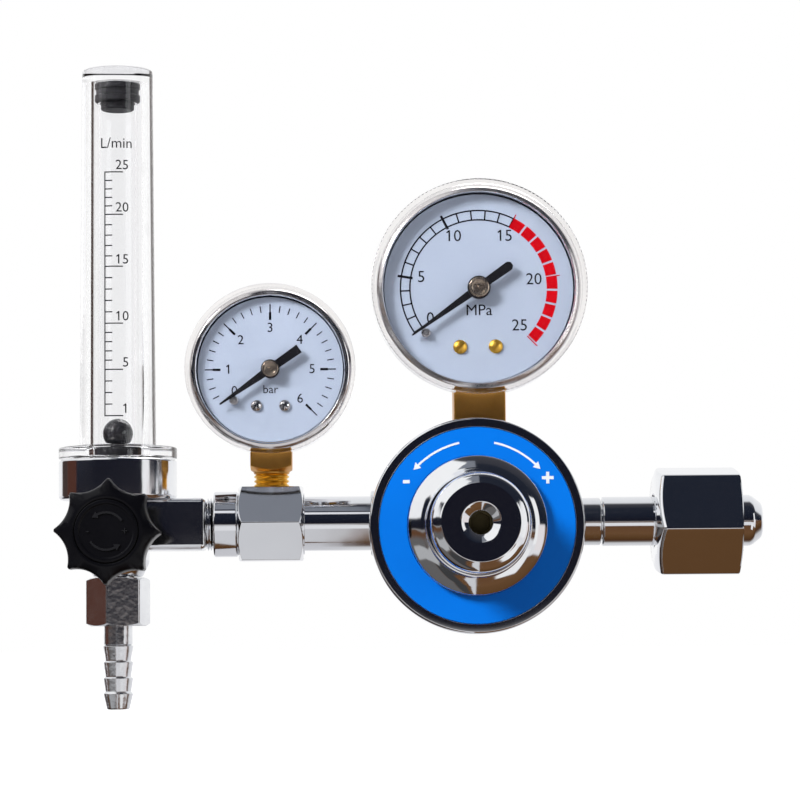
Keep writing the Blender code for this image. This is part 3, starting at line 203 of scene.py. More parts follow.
class Workpiece:
    """A mesh under way, in millimetres about its own axis."""

    def __init__(self) -> None:
        """Start with nothing on the bench."""
        self.bm = bmesh.new()

    @classmethod
    def lathe(cls, profile: Sequence[Point], steps: int = FINE_STEPS, ring: bool = False
              ) -> "Workpiece":
        """A turned piece.

        Args:
            profile: Points of radius and height, with a third number where a corner is rounded.
            steps: Facets round the axis.
            ring: Whether the profile closes on itself round a bore.

        Returns:
            The closed piece.
        """
        work = cls()
        bm = work.bm
        verts = [bm.verts.new((point[0], 0.0, point[1])) for point in profile]
        for pair in zip(verts, verts[1:]):
            bm.edges.new(pair)
        if ring:
            bm.edges.new((verts[-1], verts[0]))
        for vert, point in zip(verts, profile):
            if len(point) > 2:
                work.bevel([vert], point[2], "VERTICES")
        bmesh.ops.spin(bm, geom=bm.verts[:] + bm.edges[:], cent=(0, 0, 0), axis=(0, 0, 1),
                       angle=FULL_TURN, steps=steps, use_merge=True)
        work.close()
        return work

    @classmethod
    def boss(cls, radius: float, end: float, root: float, fillet: float = 0.0,
             steps: int = MEDIUM_STEPS) -> "Workpiece":
        """A plain turned bar, rounded at its end if it has a fillet."""
        tip = (radius, end, fillet) if fillet else (radius, end)
        return cls.lathe([(0, end), tip, (radius, root), (0, root)], steps)

    @classmethod
    def loft(cls, angles: Sequence[float], rings: Sequence[Ring], ring: bool = False
             ) -> "Workpiece":
        """A piece whose section changes along its axis.

        Args:
            angles: The angles of every ring's points.
            rings: The rings, from one end to the other.
            ring: Whether the last ring joins the first, round a bore.

        Returns:
            The closed piece.
        """
        work = cls()
        bm = work.bm
        loops = [bmesh.ops.create_circle(bm, segments=len(angles), radius=1.0)["verts"]]
        for _ in rings[1:]:
            edges = list({e for v in loops[-1] for e in v.link_edges
                          if all(end in loops[-1] for end in e.verts)})
            grown = bmesh.ops.extrude_edge_only(bm, edges=edges)["geom"]
            new = {v for v in grown if isinstance(v, bmesh.types.BMVert)}
            loops.append([next(e.other_vert(v) for e in v.link_edges if e.other_vert(v) in new)
                          for v in loops[-1]])
        for loop, outline in zip(loops, rings):
            for vert, angle in zip(loop, angles):
                radius, height = outline(angle)
                vert.co = (radius * math.cos(angle), radius * math.sin(angle), height)
        if ring:
            bmesh.ops.bridge_loops(bm, edges=[e for e in bm.edges if len(e.link_faces) == 1])
        else:
            bmesh.ops.holes_fill(bm, edges=bm.edges[:], sides=0)
        work.close()
        return work

    @classmethod
    def block(cls, size: Point, at: Point = (0, 0, 0), round_by: float = 0.0) -> "Workpiece":
        """A box about a point, with rounded edges.

        Args:
            size: Its three sizes.
            at: The point at its middle.
            round_by: Radius of its edges.

        Returns:
            The box.
        """
        work = cls()
        work.slab(size, Matrix.Translation(at))
        if round_by:
            work.bevel(work.bm.edges[:], round_by, "EDGES")
        return work

    @classmethod
    def lettering(cls, words: str, size: float, at: Point, thick: float = INK_MM,
                  align: str = "CENTER", weight: float = 0.0) -> "Workpiece":
        """Raised figures lying in the XY plane. A 1 gets the flag that the typeface leaves out.

        Args:
            words: The figures.
            size: Height of the type.
            at: The middle of the figures, and the height of their back.
            thick: How far they stand proud.
            align: LEFT, CENTER or RIGHT.
            weight: How much each stroke is thickened, as a share of the height.

        Returns:
            The figures as closed solids.
        """
        curve = bpy.data.curves.new("figures", "FONT")
        curve.body, curve.size, curve.offset = words, size, weight * size
        curve.align_x, curve.align_y = align, "CENTER"
        curve.extrude, curve.resolution_u = thick / 2, 3
        work = cls()
        work.take(evaluated_mesh(bpy.data.objects.new("figures", curve)))
        bmesh.ops.remove_doubles(work.bm, verts=work.bm.verts[:], dist=MERGE_MM)
        if words.startswith("1"):
            left = min(v.co.x for v in work.bm.verts)
            top = max(v.co.y for v in work.bm.verts if v.co.x < left + 0.15 * size)
            work.slab((0.2 * size, 0.085 * size, thick), Matrix.Translation(
                (left - 0.04 * size, top - 0.105 * size, 0)) @ turn_z(38))
        return work.moved((at[0], at[1], at[2] + thick / 2))

    def slab(self, size: Point, place: Matrix) -> None:
        """Add a box of a size at a place."""
        bmesh.ops.create_cube(self.bm, size=1.0, matrix=place @ Matrix.Diagonal((*size, 1.0)))

    def stroke(self, inner: float, outer: float, width: float, low: float, degrees: float
               ) -> None:
        """Add a short radial line of ink at an angle."""
        middle = Matrix.Translation(((inner + outer) / 2, 0, low + INK_MM / 2))
        self.slab((outer - inner, width, INK_MM), turn_z(degrees) @ middle)

    def arc_bar(self, inner: float, outer: float, low: float, high: float, start: float,
                end: float) -> None:
        """Add a bar bent round the axis, from one angle to another in degrees.

        Args:
            inner: Inner radius.
            outer: Outer radius.
            low: Height of its back.
            high: Height of its front.
            start: Where it starts.
            end: Where it ends.
        """
        made = [self.bm.verts.new(on_circle(r, start, z))
                for r, z in ((inner, low), (outer, low), (outer, high), (inner, high))]
        face = self.bm.faces.new(made)
        bmesh.ops.spin(self.bm, geom=[face, *face.edges, *made], cent=(0, 0, 0), axis=(0, 0, 1),
                       angle=math.radians(end - start),
                       steps=max(2, round(abs(end - start) / ARC_STEP_DEG)))

    def bevel(self, geom: Sequence[bmesh.types.BMVert | bmesh.types.BMEdge], width: float,
              affect: str) -> None:
        """Round corners or edges.

        Args:
            geom: The corners or edges.
            width: How far from each of them the rounding starts.
            affect: VERTICES for corners and EDGES for edges.
        """
        bmesh.ops.bevel(self.bm, geom=geom, offset=width, offset_type="OFFSET",
                        segments=FILLET_SEGMENTS, profile=0.5, affect=affect,
                        clamp_overlap=True, material=-1)

    def close(self) -> None:
        """Merge what coincides and point every face outwards."""
        bmesh.ops.remove_doubles(self.bm, verts=self.bm.verts[:], dist=MERGE_MM)
        bmesh.ops.recalc_face_normals(self.bm, faces=self.bm.faces[:])

    def moved(self, vec: Point) -> "Workpiece":
        """The piece after a shift in mm."""
        bmesh.ops.translate(self.bm, vec=vec, verts=self.bm.verts[:])
        return self

    def laid(self, place: Station) -> "Workpiece":
        """The piece laid along another axis, still in mm."""
        self.bm.transform(place.laid())
        return self

    def take(self, mesh: bpy.types.Mesh) -> None:
        """Load a mesh on the bench and put its data away."""
        self.bm.from_mesh(mesh)
        bpy.data.meshes.remove(mesh)

    def with_parts(self, *parts: "Workpiece") -> "Workpiece":
        """The piece with separate shells added to it.

        Args:
            parts: The shells. Each is used up.

        Returns:
            The same piece.
        """
        for part in parts:
            self.take(part.to_mesh("part"))
        return self

    def combine(self, operation: str, tools: Sequence["Workpiece"]) -> "Workpiece":
        """The piece after a cut or a joint with each tool in turn, by the exact solver.

        Args:
            operation: DIFFERENCE for a cut and UNION for a joint.
            tools: The tools. Each is used up.

        Returns:
            The same piece.
        """
        for tool in tools:
            target = bpy.data.objects.new("target", self.to_mesh("target"))
            other = bpy.data.objects.new("tool", tool.to_mesh("tool"))
            bpy.context.scene.collection.objects.link(other)
            step = target.modifiers.new("step", "BOOLEAN")
            step.operation, step.solver, step.object = operation, "EXACT", other
            mesh = evaluated_mesh(target)
            self.bm = bmesh.new()
            self.take(mesh)
            discard(other)
        return self

    def cut(self, *tools: "Workpiece") -> "Workpiece":
        """Take the tools away."""
        return self.combine("DIFFERENCE", tools)

    def join(self, *tools: "Workpiece") -> "Workpiece":
        """Fuse the tools on."""
        return self.combine("UNION", tools)

    def drill(self, radius: float, high: float, low: float, place: Station = Station(),
              steps: int = SMALL_STEPS) -> "Workpiece":
        """Cut a round hole along an axis, from one height to another."""
        return self.cut(Workpiece.boss(radius, high, low, steps=steps).laid(place))

    def to_mesh(self, name: str, matrix: Matrix | None = None) -> bpy.types.Mesh:
        """Write the piece to a mesh, and clear the bench.

        Args:
            name: The mesh's name.
            matrix: Where it goes, if anywhere.

        Returns:
            The new mesh.
        """
        mesh = bpy.data.meshes.new(name)
        if matrix is not None:
            self.bm.transform(matrix)
        self.bm.to_mesh(mesh)
        self.bm.free()
        return mesh


def discard(obj: bpy.types.Object) -> None:
    """Remove a helper object and what it holds.

    Args:
        obj: The object.
    """
    data = obj.data
    bpy.data.objects.remove(obj)
    (bpy.data.meshes if isinstance(data, bpy.types.Mesh) else bpy.data.curves).remove(data)


def evaluated_mesh(obj: bpy.types.Object) -> bpy.types.Mesh:
    """Evaluate a loose object, remove it and give back its final mesh.

    Args:
        obj: The object, with its modifiers.

    Returns:
        The mesh that it comes to.
    """
    bpy.context.scene.collection.objects.link(obj)
    graph = bpy.context.evaluated_depsgraph_get()
    mesh = bpy.data.meshes.new_from_object(obj.evaluated_get(graph))
    discard(obj)
    return mesh


def arrow_head(radius: float, size: float, low: float, thick: float, degrees: float, way: int
               ) -> Workpiece:
    """A three-sided head on an arc about the axis.

    Args:
        radius: Radius of the arc.
        size: Radius of the head itself.
        low: Height of its back.
        thick: How far it stands proud.
        degrees: Where its back edge is on the arc.
        way: 1 when it points anticlockwise, and -1 when clockwise.

    Returns:
        The head as a closed solid.
    """
    head = Workpiece()
    made = bmesh.ops.create_cone(head.bm, cap_ends=True, segments=3, radius1=size,
                                 radius2=size, depth=thick)["verts"]
    furthest = max(made, key=lambda v: (round(math.hypot(v.co.x, v.co.y), 4), v.co.x))
    lead = math.degrees(math.atan2(furthest.co.y, furthest.co.x))
    place = Matrix.Translation((radius, 0.5 * size * way, low + thick / 2))
    head.bm.transform(turn_z(degrees) @ place @ turn_z(90 * way - lead))
    return head


# Shader effects, built once and placed in each finish


def feed(tree: Tree, node: bpy.types.Node, inputs: dict[str | int, object]) -> None:
    """Give a node's inputs their values, or link them to the sockets that feed them.

    Args:
        tree: The node tree.
        node: The node.
        inputs: A value or a socket for each input.
    """
    for key, value in inputs.items():
        if isinstance(value, Socket):
            tree.links.new(value, node.inputs[key])
        else:
            node.inputs[key].default_value = value


def wire(tree: Tree, kind: str, inputs: dict[str | int, object] | None = None,
         **settings: object) -> bpy.types.Node:
    """Add a shader node.

    Args:
        tree: The node tree it goes in.
        kind: The node's type, after the word ShaderNode.
        inputs: A value or a socket for each input that isn't left as it is.
        settings: The node's own settings.

    Returns:
        The node.
    """
    node = tree.nodes.new(f"ShaderNode{kind}")
    for key, value in settings.items():
        setattr(node, key, value)
    feed(tree, node, inputs or {})
    return node


def arithmetic(tree: Tree, operation: str, *terms: float | Socket) -> Socket:
    """The result of one Math node on its terms."""
    return wire(tree, "Math", dict(enumerate(terms)), operation=operation).outputs[0]


class Effect:
    """The shader node groups that the finishes share, each with named inputs and outputs."""

    @staticmethod
    def start(name: str, **inputs: float | Colour) -> tuple[Tree, bpy.types.NodeOutputs]:
        """Open a new group.

        Args:
            name: The group's name.
            inputs: Input names and their defaults. A triple is a colour.

        Returns:
            The group, and the sockets that bring its inputs in.
        """
        tree = bpy.data.node_groups.new(name, "ShaderNodeTree")
        tree.interface.new_socket("Vector", in_out="INPUT", socket_type="NodeSocketVector")
        for key, value in inputs.items():
            number = isinstance(value, float)
            made = tree.interface.new_socket(
                key, in_out="INPUT",
                socket_type="NodeSocketFloat" if number else "NodeSocketColor")
            made.default_value = value if number else (*value, 1.0)
        return tree, tree.nodes.new("NodeGroupInput").outputs

    @staticmethod
    def end(tree: Tree, **results: Socket) -> Tree:
        """The group with its named outputs fed.

        Args:
            tree: The group.
            results: Output names and the sockets that feed them.

        Returns:
            The same group.
        """
        for key, socket in results.items():
            kind = "NodeSocketColor" if socket.type == "RGBA" else "NodeSocketFloat"
            tree.interface.new_socket(key, in_out="OUTPUT", socket_type=kind)
        feed(tree, tree.nodes.new("NodeGroupOutput"), results)
        return tree

    @staticmethod
    @cache
    def haze() -> Tree:
        """Uneven polish: roughness that drifts, and a slow wave in the surface.

        Returns:
            The group, with a roughness and a height.
        """
        tree, given = Effect.start("haze", Scale=60.0, Base=0.1, Spread=0.05, Wave=0.2)
        drift = wire(tree, "TexNoise", {"Vector": given["Vector"], "Scale": given["Scale"],
                                        "Detail": 4.0})
        slow = wire(tree, "TexNoise", {
            "Vector": given["Vector"], "Detail": 1.0,
            "Scale": arithmetic(tree, "MULTIPLY", given["Scale"], 2.5)})
        return Effect.end(
            tree, Roughness=arithmetic(tree, "MULTIPLY_ADD", drift.outputs["Fac"],
                                       given["Spread"], given["Base"]),
            Height=arithmetic(tree, "MULTIPLY", slow.outputs["Fac"], given["Wave"]))

    @staticmethod
    @cache
    def turning() -> Tree:
        """Fine tool lines round an axis: rings of height by the distance from it.

        Returns:
            The group, with a height.
        """
        tree, given = Effect.start("turning", Scale=900.0, Depth=0.5)
        rings = wire(tree, "TexWave", {
            "Vector": given["Vector"], "Scale": given["Scale"], "Distortion": 1.5,
            "Detail": 2.0}, wave_type="RINGS", rings_direction="SPHERICAL")
        return Effect.end(
            tree, Height=arithmetic(tree, "MULTIPLY", rings.outputs["Fac"], given["Depth"]))

    @staticmethod
    @cache
    def tarnish() -> Tree:
        """Two shades of one colour in soft patches with small specks.

        Returns:
            The group, with a colour.
        """
        tree, given = Effect.start("tarnish", Scale=80.0, Light=(0.8, 0.8, 0.8),
                                   Dark=(0.5, 0.5, 0.5), Amount=0.5)
        patches = wire(tree, "TexNoise", {"Vector": given["Vector"], "Scale": given["Scale"],
                                          "Detail": 6.0, "Roughness": 0.62})
        edge = wire(tree, "MapRange", {"Value": patches.outputs["Fac"], "From Min": 0.36,
                                       "From Max": 0.72})
        share = arithmetic(tree, "MULTIPLY", edge.outputs["Result"], given["Amount"])
        mix = wire(tree, "Mix", {"Factor": share, "A": given["Light"], "B": given["Dark"]},
                   data_type="RGBA")
        return Effect.end(tree, Color=mix.outputs["Result"])


# Finishes


@dataclass(frozen=True)
class Finish:
    """One surface finish: a Principled shader fed by the shared effects."""

    name: str
    slot: str
    light: Colour
    dark: Colour
    patches: float = 0.3          # share of the darker shade
    patch_scale: float = 80.0
    metallic: float = 0.0
    roughness: float = 0.3
    spread: float = 0.06
    haze_scale: float = 60.0
    wave: float = 0.0             # depth of the slow wave, in micrometres
    tool_lines: float = 0.0       # depth of the turning marks, in micrometres
    coat: float = 0.0
    clear: bool = False           # clear plastic, which lets most lamp light through
    ior: float = 1.5

    @cache
    def material(self) -> bpy.types.Material:
        """The finish as a material, made the first time it is asked for.

        Returns:
            The material.
        """
        made = bpy.data.materials.new(self.name)
        made.use_nodes = True
        tree = made.node_tree
        shader = tree.nodes["Principled BSDF"]
        here = wire(tree, "TexCoord").outputs["Object"]

        def effect(group: Tree, **values: float | Point) -> bpy.types.NodeOutputs:
            """Place a shared effect with its own values, on the piece's coordinates."""
            return wire(tree, "Group", {"Vector": here, **values}, node_tree=group).outputs

        shade = effect(Effect.tarnish(), Scale=self.patch_scale, Light=(*self.light, 1.0),
                       Dark=(*self.dark, 1.0), Amount=self.patches)
        haze = effect(Effect.haze(), Scale=self.haze_scale, Base=self.roughness,
                      Spread=self.spread, Wave=1.0)
        feed(tree, shader, {
            "Base Color": shade["Color"], "Roughness": haze["Roughness"],
            "Metallic": self.metallic, "IOR": self.ior, "Coat Weight": self.coat,
            "Coat Roughness": 0.04})
        if self.wave or self.tool_lines:
            relief = effect(Effect.turning(), Depth=1.0) if self.tool_lines else haze
            bump = wire(tree, "Bump", {"Distance": (self.wave or self.tool_lines) * MICRON,
                                       "Height": relief["Height"]})
            feed(tree, shader, {"Normal": bump.outputs["Normal"]})
        if self.clear:
            path = wire(tree, "LightPath").outputs
            feed(tree, shader, {"Transmission Weight": 1.0, "Alpha": arithmetic(
                tree, "MULTIPLY_ADD", path["Is Shadow Ray"], -0.92, 1.0)})
        return made


PLATING = Finish("bright_plating", "chrome", (0.86, 0.87, 0.89), (0.74, 0.75, 0.78), 0.25,
                 metallic=1.0, roughness=0.045, spread=0.05, wave=14.0, haze_scale=45.0)
CAST_PLATING = Finish("cast_plating", "chrome", (0.84, 0.85, 0.87), (0.66, 0.67, 0.70), 0.4,
                      metallic=1.0, roughness=0.06, spread=0.08, wave=40.0, haze_scale=55.0)
CASE_PLATING = Finish("case_plating", "gauge_case", (0.84, 0.84, 0.86), (0.68, 0.68, 0.70), 0.3,
                      metallic=1.0, roughness=0.14, spread=0.08, wave=6.0)
BRIGHT_CASE = Finish("bright_case", "gauge_case", (0.84, 0.84, 0.86), (0.68, 0.68, 0.70), 0.3,
                     metallic=1.0, roughness=0.05, spread=0.05, wave=6.0)
DULL_PLATING = Finish("dull_plating", "chrome", (0.84, 0.85, 0.87), (0.64, 0.65, 0.68), 0.5,
                      metallic=1.0, roughness=0.13, spread=0.12, wave=60.0, haze_scale=240.0)
BRASS = Finish("turned_brass", "brass", (0.72, 0.36, 0.085), (0.45, 0.22, 0.05), 0.6, metallic=1.0,
               roughness=0.26, spread=0.12, tool_lines=6.0)
# A lighter copy of the turned brass. On the gauge threads it is painted highlight, for the light
# that the thread flanks catch.
BRIGHT_BRASS = Finish("bright_brass", "brass", (1.0, 0.62, 0.10), (0.78, 0.42, 0.06), 0.5,
                      metallic=1.0, roughness=0.27, spread=0.1)
OILED_STEEL = Finish("oiled_steel", "steel", (0.12, 0.10, 0.05), (0.05, 0.042, 0.024), 0.5,
                     metallic=1.0, roughness=0.4, spread=0.12)
DARK_STEEL = Finish("dark_steel", "steel", (0.52, 0.45, 0.38), (0.30, 0.25, 0.20), 0.5,
                    metallic=1.0, roughness=0.2, spread=0.1, tool_lines=3.0)
STEEL = Finish("bright_steel", "steel", (0.62, 0.62, 0.64), (0.42, 0.42, 0.44), 0.4, metallic=1.0,
               roughness=0.22, spread=0.12, tool_lines=4.0)
DIAL_PAINT = Finish("dial_paint", "dial_face", (0.375, 0.446, 0.575), (0.345, 0.415, 0.54), 0.5,
                    roughness=0.38, spread=0.06, patch_scale=35.0)
BLACK_INK = Finish("black_ink", "black_paint", (0.005, 0.005, 0.008), (0.012, 0.012, 0.016), 0.4,
                   roughness=0.6, ior=1.2)
RED_INK = Finish("red_ink", "dial_face", (0.44, 0.0, 0.004), (0.38, 0.0, 0.004), 0.4,
                 roughness=0.6, ior=1.2)
WHITE_INK = Finish("white_ink", "blue_label", (0.85, 0.88, 0.92), (0.75, 0.78, 0.83), 0.3,
                   roughness=0.4)
POINTER_BLACK = Finish("pointer_black", "black_paint", (0.005, 0.005, 0.007),
                       (0.012, 0.012, 0.014), 0.4, roughness=0.35, ior=1.35)
KNOB_PLASTIC = Finish("knob_plastic", "black_plastic", (0.002, 0.002, 0.003),
                      (0.006, 0.006, 0.008), 0.4, roughness=0.24, spread=0.14, wave=22.0,
                      haze_scale=420.0, ior=1.27)
BALL_PLASTIC = Finish("ball_plastic", "black_plastic", (0.01, 0.01, 0.012),
                      (0.02, 0.02, 0.022), 0.3, roughness=0.16, spread=0.06)
RUBBER = Finish("rubber", "black_rubber", (0.006, 0.006, 0.008), (0.016, 0.016, 0.018), 0.5,
                roughness=0.5, spread=0.15, wave=30.0, haze_scale=300.0, ior=1.3)
LABEL_BLUE = Finish("label_blue", "blue_label", (0.0, 0.19, 0.82), (0.0, 0.135, 0.66), 0.4,
                    roughness=0.3, spread=0.08, coat=0.1, patch_scale=25.0, ior=1.3)
CLEAR_TUBE = Finish("clear_tube", "clear_plastic", (0.992, 0.992, 0.995),
                    (0.985, 0.985, 0.99), 0.3, roughness=0.0, spread=0.01, clear=True, ior=1.3,
                    coat=0.3)
METER_GLASS = Finish("meter_glass", "clear_plastic", (0.995, 0.995, 0.997), (0.985, 0.985, 0.99),
                     0.3, roughness=0.0, spread=0.01, clear=True, ior=1.03, coat=0.1)
CLEAR_COVER = Finish("clear_cover", "clear_plastic", (0.95, 0.932, 0.922), (0.915, 0.893, 0.883),
                     0.3, roughness=0.0, spread=0.02, clear=True, ior=1.1, coat=1.0)


# Finished pieces


@dataclass
class Assembly:
    """What every sub-assembly shares: it makes pieces and dresses plain solids."""

    pieces: list[bpy.types.Object] = field(default_factory=list, init=False)

    def add(self, name: str, work: Workpiece, station: Station, finish: Finish,
            stands_for: str = "", body: str = "main", bevel: float = 0.0) -> None:
        """Finish a piece and let it ride.

        Args:
            name: The piece's name.
            work: Its mesh, in mm about its own axis.
            station: Where it sits.
            finish: Its surface.
            stands_for: The plain solid that it takes the place of, if any.
            body: The moving body that carries it.
            bevel: Width in mm of the rounding on its sharp edges, if any.
        """
        mesh = work.to_mesh(name, station.matrix())
        mesh.shade_smooth()
        mesh.set_sharp_from_angle(angle=math.radians(SHARP_DEG))
        obj = bpy.data.objects.new(name, mesh)
        bpy.context.scene.collection.objects.link(obj)
        if bevel:
            edge = obj.modifiers.new("edges", "BEVEL")
            edge.width, edge.segments = bevel * MM, 2
            edge.limit_method, edge.angle_limit = "ANGLE", math.radians(SHARP_DEG)
            edge.use_clamp_overlap = True
        obj.modifiers.new("shading", "WEIGHTED_NORMAL").keep_sharp = True
        mesh.materials.append(finish.material())
        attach(obj, body)
        if stands_for:
            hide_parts(stands_for)
        self.pieces.append(obj)
        LOG.info("%s: %d faces on %s", name, len(mesh.polygons), body)

    @staticmethod
    def dress(finish: Finish, *nodes: str) -> None:
        """Give plain solids that stay a finish.

        Args:
            finish: Their surface.
            nodes: The names of the solids.
        """
        for node in nodes:
            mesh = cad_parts[node].data
            mesh.materials.clear()
            mesh.materials.append(finish.material())
            LOG.info("%s: %s", node, finish.name)


def nut(flats: float, low: float, high: float, bore: float, corner: float = 0.5,
        chamfer: float = 0.58, lip: Span | None = None) -> Workpiece:
    """A hexagon nut with turned chamfers and a bore.

    Args:
        flats: Size across the flats.
        low: Height of its lower end.
        high: Height of its upper end.
        bore: Radius of the bore.
        corner: Radius of its long edges.
        chamfer: Slope of the turned ends.
        lip: Radius and height of a narrower hole at the lower end, if it has one.

    Returns:
        The nut, about its own axis.
    """
    bar = Bar(6, flats / 2, corner)
    edge = bar.apothem - 0.25

    def level(end: float, way: float) -> Ring:
        """A ring that sinks from the end as it nears the corners."""
        return lambda a: (bar.radius(a), end - way * max(0.0, bar.radius(a) - edge) * chamfer)

    rings = [ring_at(bore, high - 0.4), ring_at(bore + 0.4, high), ring_at(edge, high),
             level(high, 1.0), level(low, -1.0), ring_at(edge, low)]
    if lip:
        radius, floor = lip
        rings += [ring_at(radius + 0.3, low), ring_at(radius, low + 0.3),
                  ring_at(radius, floor), ring_at(bore, floor)]
    else:
        rings += [ring_at(bore + 0.4, low), ring_at(bore, low + 0.4)]
    return Workpiece.loft(bar.angles(), rings, ring=True)


@dataclass
class FlowTube(Assembly):
    """The clear cover on its flange, the metering tube, ball, seat, plug and printed scale."""

    foot_r: float = 11.4
    top_r: float = 10.6
    top: float = 137.1
    roof: float = 3.9
    bore_r: float = 7.5
    flange_r: float = 17.65
    flange: Span = (19.8, 23.1)
    spigot: Span = (13.0, 12.7)   # radius and lower end of what enters the cup
    tube_r: float = 6.0
    tube: Span = (23.3, 126.9)
    taper: Span = (4.85, 5.4)     # the metering bore's radius at its foot and at its top
    ball_r: float = 4.5
    ball_z: float = 27.3
    seat_r: float = 7.0
    seat: Span = (10.7, 23.0)
    jet_r: float = 2.06
    plug_r: float = 6.8
    plug: Span = (124.9, 132.9)
    scale_line_x: float = -3.2
    marks: tuple[tuple[int, float], ...] = (
        (1, 32.0), (5, 45.75), (10, 59.5), (15, 76.5), (20, 92.05), (25, 104.8))
    line_w: float = 0.35
    long_tick: float = 5.6
    short_tick: float = 2.4
    figure: float = 4.1
    figure_x: float = 4.2
    unit_figure: float = 4.4

    def build(self) -> None:
        """Make every piece of the flow tube."""
        bore_top = self.top - self.roof
        spigot_r, spigot_end = self.spigot
        cover = Workpiece.lathe(
            [(0, self.top), (self.top_r, self.top, 0.7), (self.foot_r, self.flange[1], 0.8),
             (self.flange_r, self.flange[1], 0.5), (self.flange_r, self.flange[0], 0.4),
             (spigot_r, self.flange[0]), (spigot_r, spigot_end), (self.bore_r, spigot_end),
             (self.bore_r - 0.3, bore_top), (0, bore_top)])
        self.add("tube_cover", cover, FLOW, CLEAR_TUBE, "flow_cover")
        tube = Workpiece.lathe(
            [(self.tube_r, self.tube[1], 0.2), (self.tube_r, self.tube[0], 0.2),
             (self.taper[0], self.tube[0]), (self.taper[1], self.tube[1])],
            CLOSE_STEPS, ring=True)
        self.add("metering_glass", tube, FLOW, METER_GLASS, "metering_tube")
        ball = Workpiece()
        bmesh.ops.create_uvsphere(ball.bm, u_segments=SMALL_STEPS, v_segments=32,
                                  radius=self.ball_r)
        self.add("ball", ball.moved((0, 0, self.ball_z)), FLOW, BALL_PLASTIC, "float_ball",
                 body="float")
        foot, rim = self.seat
        seat = Workpiece.lathe(
            [(self.seat_r, rim, 0.5), (self.seat_r, foot, 0.4), (self.jet_r, foot),
             (self.jet_r, rim - 0.8), (3.0, rim)], SMALL_STEPS, ring=True)
        self.add("ball_seat", seat, FLOW, RUBBER, "tube_seat")
        low, high = self.plug
        groove = self.plug_r - 0.4
        plug = Workpiece.lathe(
            [(0, high), (self.plug_r, high, 0.5), (self.plug_r, high - 1.7),
             (groove, high - 2.0), (groove, high - 3.5), (self.plug_r, high - 3.8),
             (self.plug_r, low + 2.3, 0.4), (5.0, low + 2.3), (5.0, low, 0.5), (0, low)],
            SMALL_STEPS)
        self.add("tube_plug", plug, FLOW, RUBBER, "tube_top_plug")
        self.add("tube_scale", self.scale(), FLOW, BLACK_INK)
        self.dress(RUBBER, "cover_gasket")

    def height(self, value: float) -> float:
        """The height of a reading on the scale.

        Args:
            value: The reading, in litres a minute.

        Returns:
            Its height, in mm.
        """
        for (low, low_z), (high, high_z) in zip(self.marks, self.marks[1:]):
            if value <= high:
                return low_z + (high_z - low_z) * (value - low) / (high - low)
        return self.marks[-1][1]

    def scale(self) -> Workpiece:
        """The printed scale, drawn flat and then wrapped round the cover.

        Returns:
            The ink as closed solids.
        """
        flat = Workpiece()

        def line(z: float, wide: float, tall: float) -> None:
            """One printed line from the scale's left end, by its middle height."""
            middle = (self.scale_line_x + wide / 2, z, INK_MM / 2)
            flat.slab((wide, tall, INK_MM), Matrix.Translation(middle))

        low, high = self.marks[0][1], self.marks[-1][1]
        line((low + high) / 2, self.line_w, high - low)
        majors = [value for value, _ in self.marks]
        for value in range(majors[0], majors[-1] + 1):
            line(self.height(value), self.long_tick if value in majors else self.short_tick,
                 self.line_w)
        for value, z in self.marks:
            flat.with_parts(Workpiece.lettering(
                str(value), self.figure, (self.figure_x, z + self.figure / 2, 0.0),
                align="RIGHT"))
        flat.with_parts(Workpiece.lettering("L/min", self.unit_figure, (0.4, high + 8.6, 0.0)))
        bmesh.ops.subdivide_edges(
            flat.bm, edges=[e for e in flat.bm.edges if e.calc_length() > 1.5], cuts=3)
        for vert in flat.bm.verts:
            across, height, proud = vert.co
            share = (height - self.flange[1]) / (self.top - self.flange[1])
            radius = self.foot_r + (self.top_r - self.foot_r) * share
            angle = across / radius
            out = radius + proud - 0.01
            vert.co = (out * math.sin(angle), -out * math.cos(angle), height)
        return flat


